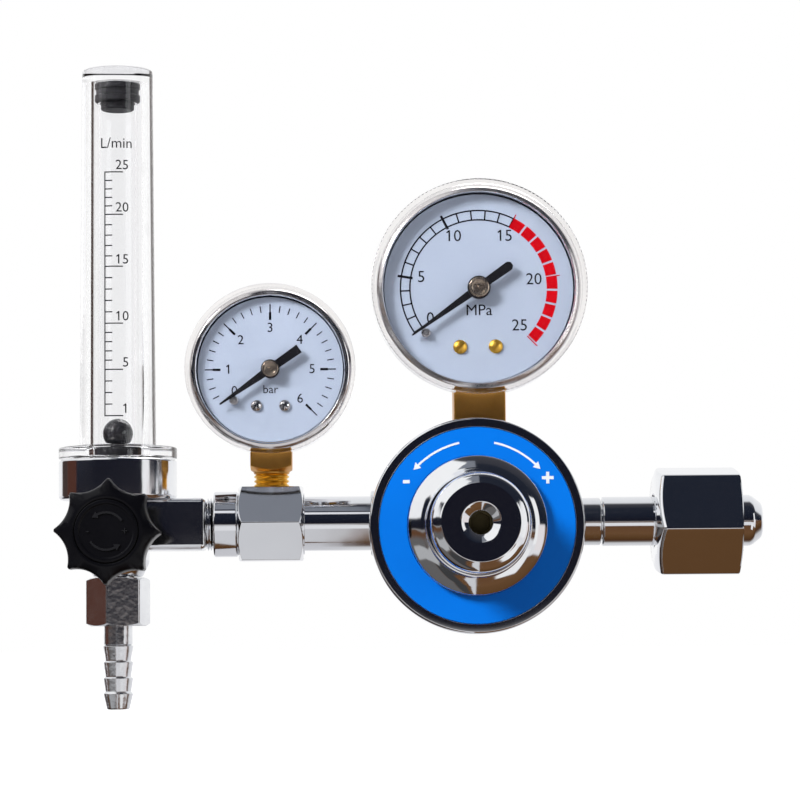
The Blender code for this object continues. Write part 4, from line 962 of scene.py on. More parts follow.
@dataclass
class ValveBody(Assembly):
    """The cast body that holds the tube, its arm, the gland and what lies inside."""

    cup_r: float = 17.6
    cup: Span = (7.5, 19.3)
    recess: Span = (13.35, 10.4)  # radius and floor of the cup's inside
    trunk_r: float = 9.4
    trunk_foot: float = -11.2
    foot_r: float = 7.3
    foot_end: float = -15.4
    stub_r: float = 6.2
    stub_end: float = -24.0
    arm_w: float = 15.4
    arm_len: float = 26.6
    neck_r: float = 7.9
    neck_len: float = 1.7
    neck_threads: int = 2
    boss_r: float = 7.7
    boss_front: float = 17.0
    boss_bore: Span = (4.6, 1.5)  # its radius and where it ends
    stub_bore_r: float = 2.6
    gland_flats: float = 14.0
    gland: Span = (17.3, 21.5)
    stem_bore_r: float = 2.75

    def build(self) -> None:
        """Make the body and the gland."""
        body = Workpiece.lathe(
            [(0, self.cup[1]), (self.cup_r, self.cup[1], 0.7), (self.cup_r, self.cup[0], 1.2),
             (self.trunk_r, self.cup[0], 0.8), (self.trunk_r, self.trunk_foot, 0.8),
             (self.foot_r, self.foot_end, 0.3), (self.stub_r, self.foot_end),
             (self.stub_r, self.stub_end, 0.4), (0, self.stub_end)])
        arm = Workpiece.block((self.arm_len + 4, self.arm_w, self.arm_w),
                              ((self.arm_len - 4) / 2, 0, 0), round_by=1.6)
        valve = Station((0, 0, -VALVE_DROP), Facing.FRONT)
        boss = Workpiece.boss(self.boss_r, self.boss_front, 2.0, 0.5).laid(valve)
        body.join(arm, boss, self.neck().laid(PIPE))
        body.drill(self.recess[0], self.cup[1] + 1, self.recess[1], steps=FINE_STEPS)
        body.drill(self.boss_bore[0], self.boss_front + 1, self.boss_bore[1], valve)
        body.drill(self.stub_bore_r, self.trunk_foot, self.stub_end - 1)
        self.add("valve_casting", body, FLOW, CAST_PLATING, "flow_body", bevel=0.25)
        gland = nut(self.gland_flats, *self.gland, self.stem_bore_r, corner=0.4)
        self.add("gland", gland, VALVE, PLATING, "gland_nut")
        self.dress(STEEL, "valve_stem")
        self.dress(RUBBER, "stem_packing")

    def neck(self) -> Workpiece:
        """The threads that show between the arm and the tee.

        Returns:
            The piece, about its own axis.
        """
        root = self.arm_len - 3
        profile: list[Point] = [(0, self.arm_len + self.neck_len)]
        for turn in reversed(range(self.neck_threads)):
            start = self.arm_len + turn * self.neck_len / self.neck_threads
            profile += [(self.neck_r - 0.9, start + self.neck_len / self.neck_threads),
                        (self.neck_r - 0.1, start + 0.45), (self.neck_r - 0.1, start + 0.25)]
        profile += [(self.neck_r - 1.0, self.arm_len - 0.1), (self.neck_r - 1.0, root), (0, root)]
        return Workpiece.lathe(profile, MEDIUM_STEPS)


@dataclass
class Knob(Assembly):
    """The moulded knob with its eight points, its cap and the raised turning marks."""

    tip_r: float = 15.2
    valley_r: float = 12.5
    flute_r: float = 9.9
    lobes: int = 8
    back: float = 34.0
    front: float = 45.2
    hub_back: float = 23.2
    hub_r: float = 9.0
    stem_r: float = 2.75
    cap_r: float = 9.0
    cap_front: float = 45.5
    turn: float = -1.5
    mark_r: float = 5.3
    mark_w: float = 0.64
    mark_arc: float = 85.0

    # inset, depth and greatest radius of each ring from the front face to the side, and back
    shoulder: tuple[Point, ...] = ((0.9, 0.55, 12.9), (0.35, 1.1, 14.3), (0.05, 2.0, 15.0),
                                   (0.0, 3.2, 99.0))
    heel: tuple[Point, ...] = ((0.0, 1.6), (0.25, 0.6), (0.9, 0.0))

    def outline(self, angle: float) -> float:
        """Blunt points with one hollow arc from each to the next.

        Args:
            angle: The angle round the knob, in radians.

        Returns:
            The radius there, in mm.
        """
        pitch = FULL_TURN / self.lobes
        off_valley = angle % pitch - pitch / 2
        centre = self.valley_r + self.flute_r
        across = centre * math.sin(off_valley)
        if abs(across) >= self.flute_r:
            return self.tip_r
        arc = centre * math.cos(off_valley) - math.sqrt(self.flute_r ** 2 - across ** 2)
        return min(arc, self.tip_r)

    def build(self) -> None:
        """Make the grip, the cap and its marks."""
        steps = 2 * FINE_STEPS

        def level(inset: float, height: float, most: float = 99.0) -> Ring:
            """The lobed outline, set in and held within a circle, at one height."""
            return lambda a: (min(self.outline(a) - inset, most), height)

        seat, front, back, hub_r = self.front - 0.9, self.front, self.back, self.hub_r
        grip = Workpiece.loft([FULL_TURN * i / steps for i in range(steps)], [
            ring_at(self.stem_r, seat), ring_at(self.cap_r + 0.3, seat),
            ring_at(self.cap_r + 0.3, front - 0.1), ring_at(self.cap_r + 0.5, front),
            ring_at(self.cap_r + 1.3, front), ring_at(self.cap_r + 1.7, front - 0.15),
            *(level(inset, front - depth, most) for inset, depth, most in self.shoulder),
            *(level(inset, back + height) for inset, height in self.heel),
            ring_at(hub_r + 0.4, back), ring_at(hub_r, back - 0.5),
            ring_at(hub_r - 1, self.hub_back + 0.4), ring_at(hub_r - 1.4, self.hub_back),
            ring_at(self.stem_r, self.hub_back)], ring=True)
        self.add("knob_grip", grip, VALVE.turned(self.turn), KNOB_PLASTIC, "knob", body="knob")
        face, floor, base = self.cap_front, self.cap_front - 0.35, self.cap_front - 0.9
        cap = Workpiece.lathe([(0, floor), (7.6, floor, 0.2), (7.9, face, 0.1),
                               (self.cap_r, face, 0.25), (self.cap_r, base), (0, base)])
        self.add("knob_disc", cap, VALVE, KNOB_PLASTIC, "knob_cap", body="knob")
        self.add("knob_marks", self.marks(), VALVE.turned(self.turn), BALL_PLASTIC,
                 body="knob", bevel=0.12)
        self.dress(STEEL, "knob_screw")

    def marks(self) -> Workpiece:
        """Two raised arrows round the cap, with a plus and a minus.

        Returns:
            The marks as closed solids.
        """
        marks = Workpiece()
        low, high, half = self.cap_front - 0.37, self.cap_front, self.mark_w / 2
        for start in (35.0, 215.0):
            end = start + self.mark_arc
            marks.arc_bar(self.mark_r - half, self.mark_r + half, low, high, start, end)
            marks.with_parts(arrow_head(self.mark_r, 1.15, low, high - low, end, 1))
        for sign, angle in (("+", 0.0), ("-", 180.0)):
            at = on_circle(self.mark_r, angle, low)
            marks.with_parts(Workpiece.lettering(sign, 3.4, at, high - low))
        return marks


@dataclass
class HoseOutlet(Assembly):
    """The small union nut and the ridged barb that takes the hose."""

    nut_flats: float = 17.0
    nut: Span = (-30.0, -15.7)
    nut_bore_r: float = 6.55
    lip: Span = (4.6, -27.4)
    turn: float = 44.6
    head_r: float = 5.9
    head: Span = (-27.1, -25.5)
    neck_r: float = 4.25
    ridge_top: float = -35.4
    ridges: int = 3
    pitch: float = 4.75
    ridge_r: float = 4.45
    root_r: float = 3.85
    end: float = -54.75
    end_r: float = 3.35
    bore_r: float = 2.2

    def build(self) -> None:
        """Make the nut and the barb."""
        hose_nut = nut(self.nut_flats, *self.nut, self.nut_bore_r, corner=1.1, lip=self.lip)
        self.add("hose_nut", hose_nut, FLOW.turned(self.turn), DULL_PLATING, "outlet_nut")
        profile: list[Point] = [(self.head_r, self.head[1]), (self.head_r, self.head[0]),
                                (self.neck_r, self.head[0]), (self.neck_r, self.ridge_top)]
        for ridge in range(self.ridges):
            height = self.ridge_top - ridge * self.pitch
            profile += [(self.root_r, height - 0.15), (self.ridge_r, height - 0.55, 0.12),
                        (self.root_r, height - self.pitch + 0.3)]
        last = self.ridge_top - self.ridges * self.pitch
        profile += [(self.ridge_r, last - 0.4, 0.15), (self.end_r, self.end, 0.5),
                    (self.bore_r, self.end, 0.3), (self.bore_r, self.head[1])]
        barb = Workpiece.lathe(profile, CLOSE_STEPS, ring=True)
        self.add("barb", barb, FLOW, DULL_PLATING, "hose_barb")
        self.dress(RUBBER, "barb_gasket")


@dataclass
class GaugeTee(Assembly):
    """The hexagon tee with its round collar and the shank that enters the regulator."""

    flats: float = 22.0
    corner: float = 0.7
    collar_r: float = 9.75
    shank_r: float = 8.1
    shank_end: float = -110.6
    hex_len: float = 19.2
    bore_r: float = 2.5
    socket: Span = (6.6, 8.4)     # radius and depth of the arm's socket
    mouth: Span = (6.4, 10.6)     # radius and floor of the gauge port's countersink
    port: Span = (5.6, 4.6)       # and of the port

    def build(self) -> None:
        """Make the tee in one piece."""
        right, left = TEE_RIGHT_X, TEE_LEFT_X
        hex_left = right - self.hex_len
        bar = nut(self.flats, hex_left, right, self.bore_r, corner=self.corner)
        core_r, groove_r = self.flats / 2 - 1.8, self.collar_r - 0.5
        groove = hex_left - 0.3
        core = Workpiece.lathe(
            [(0, self.shank_end), (self.shank_r, self.shank_end, 0.5),
             (self.shank_r, right + 0.4), (core_r, right + 0.4), (core_r, right - 1),
             (core_r, hex_left + 1), (groove_r, groove + 0.6), (groove_r, groove),
             (self.collar_r, groove - 0.2, 0.3), (self.collar_r, left, 0.6), (0, left)],
            CLOSE_STEPS)
        (mouth_r, mouth), (port_r, port_end) = self.mouth, self.port
        port_way = Workpiece.lathe(
            [(0, self.flats / 2 + 1), (mouth_r, self.flats / 2 + 1), (mouth_r, mouth),
             (port_r, mouth - 0.7), (port_r, port_end), (0, port_end)], MEDIUM_STEPS)
        bar.join(core).drill(self.socket[0], left + self.socket[1], left - 1)
        bar.drill(self.bore_r, self.shank_end + 1, left, steps=TINY_STEPS)
        bar.cut(port_way.laid(Station((0, 0, TEE_PORT_X), Facing.UP_ON_PIPE)))
        self.add("tee", bar, PIPE, PLATING, "gauge_tee", bevel=0.2)


@dataclass
class Inlet(Assembly):
    """The cylinder nipple and the large union nut on it."""

    nipple_r: float = 7.65
    tip_r: float = 5.0
    tip_len: float = 3.4
    bore_r: float = 2.5
    collar_r: float = 9.9
    collar: Span = (-26.1, -22.1)
    tail: Span = (5.0, 9.3)       # radius and length of what enters the regulator
    nut_flats: float = 30.0
    nut: Span = (-32.4, -7.0)
    nut_corner: float = 1.1
    thread_r: float = 10.5
    thread_depth: float = 0.55
    thread_pitch: float = 1.8
    lip: float = -26.4
    turn: float = 10.0

    def build(self) -> None:
        """Make the nipple and the nut."""
        shoulder = NIPPLE_SHOULDER_X + 0.3
        tail_r, tail_end = self.tail[0], shoulder - self.tail[1]
        shank_r = self.nipple_r - 0.3
        nipple = Workpiece.lathe(
            [(self.bore_r, 0), (self.tip_r, 0, 0.9), (self.nipple_r, -self.tip_len, 0.9),
             (self.nipple_r, self.collar[1]), (self.collar_r, self.collar[1], 0.4),
             (self.collar_r, self.collar[0]), (shank_r, self.collar[0]),
             (shank_r, shoulder + 0.3, 0.3), (shank_r - 0.5, shoulder, 0.2),
             (tail_r, shoulder), (tail_r, tail_end), (self.bore_r, tail_end)],
            CLOSE_STEPS, ring=True)
        self.add("nipple", nipple, PIPE, PLATING, "inlet_nipple")
        self.add("union_nut", self.union_nut(), PIPE.turned(self.turn), PLATING, "inlet_nut",
                 body="inlet_nut")
        self.dress(BRASS, "inlet_filter")

    def union_nut(self) -> Workpiece:
        """The nut, well rounded at its closed end and threaded inside.

        Returns:
            The piece, about its own axis.
        """
        bar = Bar(6, self.nut_flats / 2, self.nut_corner)
        low, high = self.nut
        edge = bar.apothem - 0.6
        hole_r = self.nipple_r + 0.3

        def sunk(inset: float, end: float, way: float, slope: float) -> Ring:
            """A ring of the outline that sinks from its end towards the corners."""
            return lambda a: (bar.radius(a) - inset,
                              end + way * (inset + max(0.0, bar.radius(a) - edge) * slope))

        rings = [ring_at(self.thread_r + 0.8, high), ring_at(edge, high),
                 sunk(0.25, high + 0.25, -1.0, 0.18), sunk(0.0, high - 0.3, -1.0, 0.2),
                 sunk(0.0, low + 1.2, 1.0, 0.42), sunk(0.12, low + 0.55, 1.0, 0.4),
                 sunk(0.45, low - 0.1, 1.0, 0.38), sunk(0.95, low - 0.75, 1.0, 0.36),
                 ring_at(edge - 1.4, low), ring_at(hole_r + 0.4, low),
                 ring_at(hole_r, low + 0.4), ring_at(hole_r, self.lip),
                 ring_at(self.thread_r, self.lip)]
        depth = self.lip + 1.0
        while depth < high - 2.2:
            rings += [ring_at(self.thread_r, depth),
                      ring_at(self.thread_r + self.thread_depth, depth + 0.7),
                      ring_at(self.thread_r, depth + 1.4)]
            depth += self.thread_pitch
        rings.append(ring_at(self.thread_r, high - 0.8))
        return Workpiece.loft(bar.angles(flat=14, arc=6), rings, ring=True)


@dataclass
class Regulator(Assembly):
    """The pressure regulator: body, bonnet with its label, and the adjusting screw."""

    body_r: float = 29.5
    thread_r: float = 28.8
    seat: float = 15.0
    rear: float = -15.5
    port_r: float = 9.8
    port_end: float = -31.1
    inlet_r: float = 7.1
    inlet_end: float = 37.6
    boss_root: float = 23.5
    chamber: Span = (16.0, 1.0)   # each bore's radius and where it ends
    tee_bore: Span = (8.45, -24.3)
    inlet_bore: Span = (5.35, 25.5)
    gauge_bore: Span = (6.85, -22.8)
    plug_bore: Span = (6.8, -1.0)
    bonnet_r: float = 31.75
    bonnet_back: float = 10.5
    label: Span = (20.6, 28.8)
    label_floor: float = 19.3
    label_front: float = 20.1
    neck: float = 25.4
    nose_front: float = 44.2
    nose_r: float = 11.7
    key_r: float = 3.35
    key_back: float = 39.6
    screw_r: float = 7.25
    screw: Span = (33.8, 39.3)
    plug_flats: float = 19.0
    plug: Span = (-20.8, -15.8)
    plug_shank: Span = (6.45, -9.5)
    key: Bar = Bar(6, 2.77, 0.2)

    def build(self) -> None:
        """Make the outer pieces, and dress the inner ones."""
        self.add("regulator_body", self.body(), REGULATOR, CAST_PLATING, "reg_body", bevel=0.2)
        self.add("bonnet_shell", self.bonnet(), REGULATOR, PLATING, "bonnet")
        near, far = self.label
        front, back = self.label_front, self.label_front - 0.5
        label = Workpiece.lathe([(far, front, 0.15), (far, back), (near, back),
                                 (near, front, 0.15)], ring=True)
        self.add("label", label, REGULATOR, LABEL_BLUE, "label_ring")
        self.add("label_marks", self.turning_marks(), REGULATOR, WHITE_INK)
        low, high = self.screw
        screw = Workpiece.lathe([(0, high), (self.screw_r, high, 0.5), (self.screw_r, low, 0.5),
                                 (0, low)], MEDIUM_STEPS)
        socket = Workpiece.loft(self.key.angles(flat=2, arc=2), [
            lambda a: (self.key.radius(a), low + 1.5), lambda a: (self.key.radius(a), high + 0.7)])
        self.add("regulator_screw", screw.cut(socket), REGULATOR, OILED_STEEL,
                 "adjusting_screw", body="adjusting_screw")
        shank_r, shank_end = self.plug_shank
        plug = nut(self.plug_flats, *self.plug, 1.0).laid(Station(turn=30))
        plug.join(Workpiece.boss(shank_r, shank_end, self.plug[0] + 2.8),
                  Workpiece.boss(4.0, shank_end - 2.5, self.plug[0] + 0.1, steps=SMALL_STEPS))
        plug.drill(3.8, shank_end + 0.5, shank_end - 3.4)
        self.add("back_plug", plug, REGULATOR, PLATING, "rear_plug", bevel=0.2)
        self.dress(RUBBER, "diaphragm")
        self.dress(STEEL, "main_spring", "poppet_spring", "spring_button", "diaphragm_plate")
        self.dress(BRASS, "poppet", "valve_nozzle")

    def body(self) -> Workpiece:
        """The turned body with its three bosses and their ports.

        Returns:
            The piece, about its own axis.
        """
        thread_r = self.thread_r - 1.4
        body = Workpiece.lathe(
            [(0, self.seat), (thread_r, self.seat), (thread_r, 10.2),
             (self.body_r, 10.2, 0.3), (self.body_r, self.rear + 3.0, 1.0),
             (self.body_r - 3.0, self.rear, 1.0), (0, self.rear)])
        pipe = Station((0, BODY_DROP, 0), Facing.DOWN_PIPE)
        upright = Station((CONTENTS_X - BODY_X, 0, 0), Facing.FRONT)
        port = (self.port_r, self.port_end, -self.boss_root, 0.7)
        body.join(Workpiece.boss(*port).laid(pipe),
                  Workpiece.boss(self.inlet_r, self.inlet_end, self.boss_root, 0.5).laid(pipe),
                  Workpiece.boss(*port).laid(upright))
        through = 40
        body.drill(self.chamber[0], self.seat + 1, self.chamber[1])
        body.drill(*self.tee_bore, -through, pipe)
        body.drill(self.inlet_bore[0], through, self.inlet_bore[1], pipe)
        body.drill(*self.gauge_bore, -through, upright)
        return body.drill(*self.plug_bore, self.rear - 1)

    def bonnet(self) -> Workpiece:
        """The plated bonnet, turned inside and out.

        Returns:
            The piece, about its own axis.
        """
        floor, front, neck, back = self.label_floor, self.nose_front, self.neck, self.bonnet_back
        rim_r, rim_front = self.bonnet_r, floor + 1.0
        nose = [(self.key_r, front - 1.6, 0.3), (5.75, front - 0.05, 0.3),
                (self.nose_r - 0.35, front, 0.15), (self.nose_r, front - 0.2, 0.15),
                (13.3, front - 0.95, 0.5), (14.2, front - 1.8, 0.5), (14.5, front - 3.4, 0.8),
                (14.55, neck + 2.4)]
        dome = [(15.4, neck + 2.4, 0.3), (15.4, neck - 0.1, 0.3), (17.2, 24.6, 0.8),
                (18.9, 23.5, 1.0), (20.5, 22.2, 0.35), (20.5, floor)]
        rim = [(28.85, floor), (28.95, rim_front, 0.1), (rim_r - 0.5, rim_front - 0.02, 0.25),
               (rim_r - 0.02, rim_front - 0.7, 0.5), (rim_r, rim_front - 4.4), (rim_r, back, 0.4)]
        inside = [(29.15, back), (29.15, 16.6), (10.0, 16.6), (10.0, 33.0), (7.6, 33.0),
                  (7.6, self.key_back), (self.key_r, self.key_back)]
        return Workpiece.lathe(nose + dome + rim + inside, RIM_STEPS, ring=True)

    def turning_marks(self) -> Workpiece:
        """Plain arrows round the label for less and for more pressure.

        Returns:
            The ink as closed solids.
        """
        marks = Workpiece()
        radius, low = sum(self.label) / 2, self.label_front
        for way, sign in ((1, "-"), (-1, "+")):
            near, far = 90 + way * 12, 90 + way * 44
            marks.arc_bar(radius - 0.3, radius + 0.3, low, low + INK_MM, *sorted((near, far)))
            at = on_circle(radius, 90 + way * 57, low)
            marks.with_parts(arrow_head(radius, 1.35, low, INK_MM, far, way),
                             Workpiece.lettering(sign, 6.5, at, weight=0.03))
        return marks


class ScaleStyle(Enum):
    """How a dial's scale is drawn."""

    STROKES = "strokes"
    CELLS = "cells with a red end"


@dataclass
class DialGauge(Assembly):
    """One dial gauge, from its brass stem to its clear cover."""

    name: str
    station: Station
    case_r: float
    wall: float
    case_finish: Finish
    depth: float
    face: float
    slope: float              # how far the rim falls outwards
    cover_r: float
    cover_front: float
    knurls: int
    stem_w: float
    foot: float               # foot of the square, from the gauge's centre
    foot_slope: float         # chamfer of the square's corners there
    thread_r: float
    thread_end: float
    screws: tuple[Point, Point]
    screw_r: float
    slots: int                # one for a slot, two for a cross
    screw_finish: Finish
    pin: Point
    pin_r: float
    hand: float
    tail: float
    tail_round: float
    hub_r: float
    rest_deg: float
    style: ScaleStyle
    dial_top: ClassVar[float] = 8.5
    plate: ClassVar[float] = 0.6
    shaft_r: ClassVar[float] = 1.6
    hole_r: ClassVar[float] = 1.15
    thread_pitch: ClassVar[float] = 1.35
    blade: ClassVar[Span] = (10.4, 10.9)

    def put(self, part: str, work: Workpiece, finish: Finish, node: str = "",
            body: str = "main", bevel: float = 0.0) -> None:
        """Add a part of this gauge, under the gauge's own name.

        Args:
            part: The part's name, after the gauge's.
            work: Its mesh.
            finish: Its surface.
            node: The gauge's plain solid that it takes the place of, if any.
            body: The moving body that carries it.
            bevel: Width in mm of the rounding on its sharp edges, if any.
        """
        self.add(f"{self.name}_{part}", work, self.station, finish,
                 node and f"{self.name}_{node}", body, bevel)

    def build(self) -> None:
        """Make the gauge."""
        inner, top = self.case_r - self.wall, self.dial_top
        self.put("shell", self.shell(inner), self.case_finish, "case")
        self.put("glass", self.cover(), CLEAR_COVER, "cover")
        self.put("stem", self.stem(), BRASS, "socket", bevel=0.3)
        # the threads take the lighter brass as painted highlight, though they are the same brass
        # as the stem
        self.put("thread", self.thread(), BRIGHT_BRASS)
        rim, back = inner - 0.3, top - self.plate
        dial = Workpiece.lathe([(self.shaft_r, top), (rim, top, 0.1), (rim, back),
                                (self.shaft_r, back)], ring=True)
        for x, y in self.screws:
            dial.drill(self.hole_r, top + 1, top - 1, Station((x, y, 0)), TINY_STEPS)
        self.put("plate", dial, DIAL_PAINT, "dial")
        if self.style is ScaleStyle.STROKES:
            self.stroke_scale()
        else:
            self.cell_scale()
        for number, (x, y) in enumerate(self.screws, 1):
            self.put(f"screw_{number}", self.screw(number).moved((x, y, 0)),
                     self.screw_finish, f"dial_screw_{number}")
        base = top + 0.3
        pin = Workpiece.lathe(
            [(0, 11.5), (0.5, 11.5, 0.15), (0.5, 10.1), (self.pin_r, 10.1, 0.35),
             (self.pin_r, base), (0, base)], TINY_STEPS).moved((*self.pin, 0))
        self.put("stop", pin, STEEL, "stop_pin")
        self.pointer()
        self.dress(BRASS, *(f"{self.name}_{part}" for part in (
            "bourdon_tube", "movement", "sector", "pinion", "link")))

    def shell(self, inner: float) -> Workpiece:
        """The pressed case with its rolled rim, open at the stem.

        Args:
            inner: Radius of its inside.

        Returns:
            The case, about the dial's axis.
        """
        back, lip, case_r = -self.depth, self.face, self.case_r
        shell = Workpiece.lathe(
            [(inner, back + 1.2), (inner, lip - 0.5, 0.1), (inner + 0.3, lip, 0.2),
             (case_r - 0.45, lip - self.slope, 0.3), (case_r, lip - 1.3, 0.4),
             (case_r, back, 1.6), (case_r - 6, back, 1.5), (case_r - 7.2, back + 0.5, 0.8),
             (0, back + 0.5), (0, back + 1.2)])
        bmesh.ops.holes_fill(shell.bm, edges=shell.bm.edges[:], sides=0)
        shell.close()
        return shell.cut(Workpiece.block((self.stem_w + 0.6,) * 3, (0, -case_r, 0)))

    def cover(self) -> Workpiece:
        """The clear cover, with fine ridges round its side where it has them.

        Returns:
            The cover, about the dial's axis.
        """
        front, cover_r, skirt = self.cover_front, self.cover_r, self.case_r + 0.3
        side_low, inside = front - 8.0, front - 1.6
        steps = self.knurls * 2 or RIM_STEPS
        cover = Workpiece.lathe(
            [(0, front), (cover_r - 2.2, front, 0.6), (cover_r - 1.4, front - 0.25, 0.4),
             (cover_r, front - 1.2, 0.5), (cover_r, side_low, 0.3), (skirt, side_low),
             (skirt, inside), (0, inside)], steps)
        for vert in cover.bm.verts if self.knurls else ():
            reach = math.hypot(vert.co.x, vert.co.y)
            step = round(math.atan2(vert.co.y, vert.co.x) / FULL_TURN * steps)
            if reach > cover_r - 0.1 and step % 2 and vert.co.z > side_low + 0.5:
                vert.co.xy *= (reach - 0.42) / reach
        return cover

    def stem(self) -> Workpiece:
        """The square stem, chamfered to a round foot, with its tongue inside the case.

        Returns:
            The stem, upright under the dial.
        """
        bar = Bar(4, self.stem_w / 2, 0.5)
        top, tongue_top = -self.case_r + bar.apothem + 0.2, -8.0
        foot, foot_r = self.foot, bar.apothem - 0.2

        def square(height: float, sink: float = 0.0) -> Ring:
            """The square, its corners pulled up from the foot."""
            return lambda a: (bar.radius(a), height + sink * max(0.0, bar.radius(a) - foot_r))

        stem = Workpiece.loft(bar.angles(flat=10), [
            ring_at(self.thread_r, foot - 1.0), ring_at(foot_r - 0.6, foot - 0.4),
            ring_at(foot_r, foot), square(foot, self.foot_slope), square(top)])
        tongue = Workpiece.block((self.stem_w - 1.0, tongue_top - top + 2, 6.0),
                                 (0, (tongue_top + top - 2) / 2, -2.0))
        return stem.laid(Station(facing=Facing.UP_ON_FRONT)).join(tongue)

    def thread(self) -> Workpiece:
        """The threads under the square, in a lighter brass than the stem: painted highlight for
        the light that their flanks catch.

        Returns:
            The threads, upright under the dial.
        """
        start, pitch, root = self.foot - 1.02, self.thread_pitch, self.thread_r - 0.62
        profile: list[Point] = [(0, start), (self.thread_r - 0.3, start)]
        depth = self.foot - 1.1
        while depth > self.thread_end + pitch:
            profile += [(root, depth - 0.1), (self.thread_r, depth - pitch * 0.45),
                        (self.thread_r, depth - pitch * 0.6), (root, depth - pitch + 0.05)]
            depth -= pitch
        profile += [(root - 0.08, self.thread_end), (0, self.thread_end)]
        return Workpiece.lathe(profile, MEDIUM_STEPS).laid(Station(facing=Facing.UP_ON_FRONT))

    def screw(self, number: int) -> Workpiece:
        """A domed screw head with its slot or cross.

        Args:
            number: 1 or 2. Each one stopped at its own turn.

        Returns:
            The piece, about its own axis.
        """
        base, r = self.dial_top + 0.3, self.screw_r
        head = Workpiece.lathe(
            [(0, base + 0.95), (r * 0.4, base + 0.86), (r * 0.8, base + 0.5), (r, base + 0.1),
             (r, base), (0.75, base), (0.75, 6.7), (0, 6.7)], TINY_STEPS)
        for cut in range(self.slots):
            tool = Workpiece.block((r * 1.3 if self.slots > 1 else r * 3, 0.42, 1.1),
                                   (0, 0, base + 0.95))
            head.cut(tool.laid(Station(turn=28.0 + 90 * cut + 17 * number)))
        return head

    def pointer(self) -> None:
        """The black blade and its turned hub."""
        (low, high), body = self.blade, f"{self.name}_pointer"
        blade = Workpiece()
        tip, root, end, round_by = 0.26, 1.12, 1.4, self.tail_round
        outline = [(self.hand, -tip), (self.hand, tip), (self.hub_r, root), (-self.tail, end),
                   (-self.tail, -end), (self.hub_r, -root)]
        if round_by:
            outline[3:5] = [(-self.tail + round_by, end), (-self.tail, end * 0.45),
                            (-self.tail, -end * 0.45), (-self.tail + round_by, -end)]
        face = blade.bm.faces.new([blade.bm.verts.new((x, y, low)) for x, y in outline])
        grown = bmesh.ops.extrude_face_region(blade.bm, geom=[face])["geom"]
        bmesh.ops.translate(blade.bm, vec=(0, 0, high - low),
                            verts=[v for v in grown if isinstance(v, bmesh.types.BMVert)])
        blade.close()
        self.put("blade", blade.laid(Station(turn=self.rest_deg)), POINTER_BLACK, "pointer",
                 body, bevel=0.08)
        hub_r, cap_r = self.hub_r, self.hub_r * 0.91
        collar = Workpiece.lathe(
            [(cap_r, 11.6), (hub_r - 0.1, 11.6, 0.1), (hub_r, 11.4, 0.1), (hub_r, 9.9),
             (cap_r, 9.9)], SMALL_STEPS, ring=True)
        self.put("collar", collar, POINTER_BLACK, body=body)
        hub = Workpiece.lathe(
            [(0, 11.9), (0.5, 11.9, 0.15), (0.65, 11.55), (cap_r * 0.5, 11.5),
             (cap_r * 0.76, 11.85, 0.3), (cap_r - 0.05, 11.6, 0.2), (cap_r - 0.05, 9.95),
             (0.8, 9.95), (0.8, 2.4), (0, 2.4)], SMALL_STEPS)
        self.put("hub", hub, DARK_STEEL, body=body)

    @staticmethod
    def dial_angle(share: float) -> float:
        """Degrees from local X of a share of the scale, which runs clockwise over 270."""
        return 225.0 - 270.0 * share

    def write(self, ink: Workpiece, size: float, labels: Sequence[tuple[str, float, float]]
              ) -> None:
        """Print upright figures at places in mm from the centre."""
        for text, x, y in labels:
            ink.with_parts(Workpiece.lettering(text, size, (x, y, self.dial_top)))

    def stroke_scale(self) -> None:
        """Six bar in thirty steps, each long stroke thick on its inner half.

        The first stroke lies under the pointer, which rests there on its stop.
        """
        ink, top = Workpiece(), self.dial_top
        units, per_unit, figures_r = 6, 5, 12.4
        for step in range(2, units * per_unit + 1):
            angle = self.dial_angle(step / (units * per_unit))
            strokes = ((17.1, 19.1, 0.3),) if step % per_unit else (
                (17.0, 19.5, 0.35), (14.8, 17.1, 0.7))
            for inner, outer, width in strokes:
                ink.stroke(inner, outer, width, top, angle)
        places = [on_circle(figures_r, self.dial_angle(unit / units), top)
                  for unit in range(1, units + 1)]
        self.write(ink, 4.0, [("0", -10.7, -6.4), *(
            (str(unit), x, y) for unit, (x, y, _) in enumerate(places, 1))])
        self.write(ink, 3.5, [("bar", 0.0, -6.0)])
        self.put("print", ink, BLACK_INK)

    def cell_scale(self) -> None:
        """A band of cells from 0 to 25, the last ten filled red."""
        ink, red, top = Workpiece(), Workpiece(), self.dial_top
        inner, outer, line, full, per_five, red_from = 20.3, 23.55, 0.44, 25, 5, 15

        def angle(value: float) -> float:
            """Where a reading is on the dial."""
            return self.dial_angle(value / full)

        for radius in (inner, outer - line):
            ink.arc_bar(radius, radius + line, top, top + INK_MM, angle(red_from), angle(1))
        for value in range(1, red_from + 1):
            if value % per_five == 0 and value < red_from:
                ink.stroke(inner - 0.4, outer + 0.9, 0.75, top, angle(value))
            else:
                ink.stroke(inner, outer, line, top, angle(value))
        self.write(ink, 4.9, [("0", -14.5, -9.0), ("5", -17.1, 3.4), ("10", -7.4, 15.6),
                              ("15", 7.9, 15.6), ("20", 16.5, 2.5), ("25", 12.1, -11.3)])
        self.write(ink, 4.7, [("MPa", 0.0, -6.7)])
        self.put("print", ink, BLACK_INK)
        for value in range(red_from, full):
            red.arc_bar(inner, outer, top, top + INK_MM, angle(value + 1) + 0.9,
                        angle(value) - 0.6)
        for value, past in ((red_from, 1.2), (20, 1.0), (full, 1.0)):
            red.stroke(inner, outer + past, 0.35, top, angle(value) - 0.3)
        self.put("red_zone", red, RED_INK)


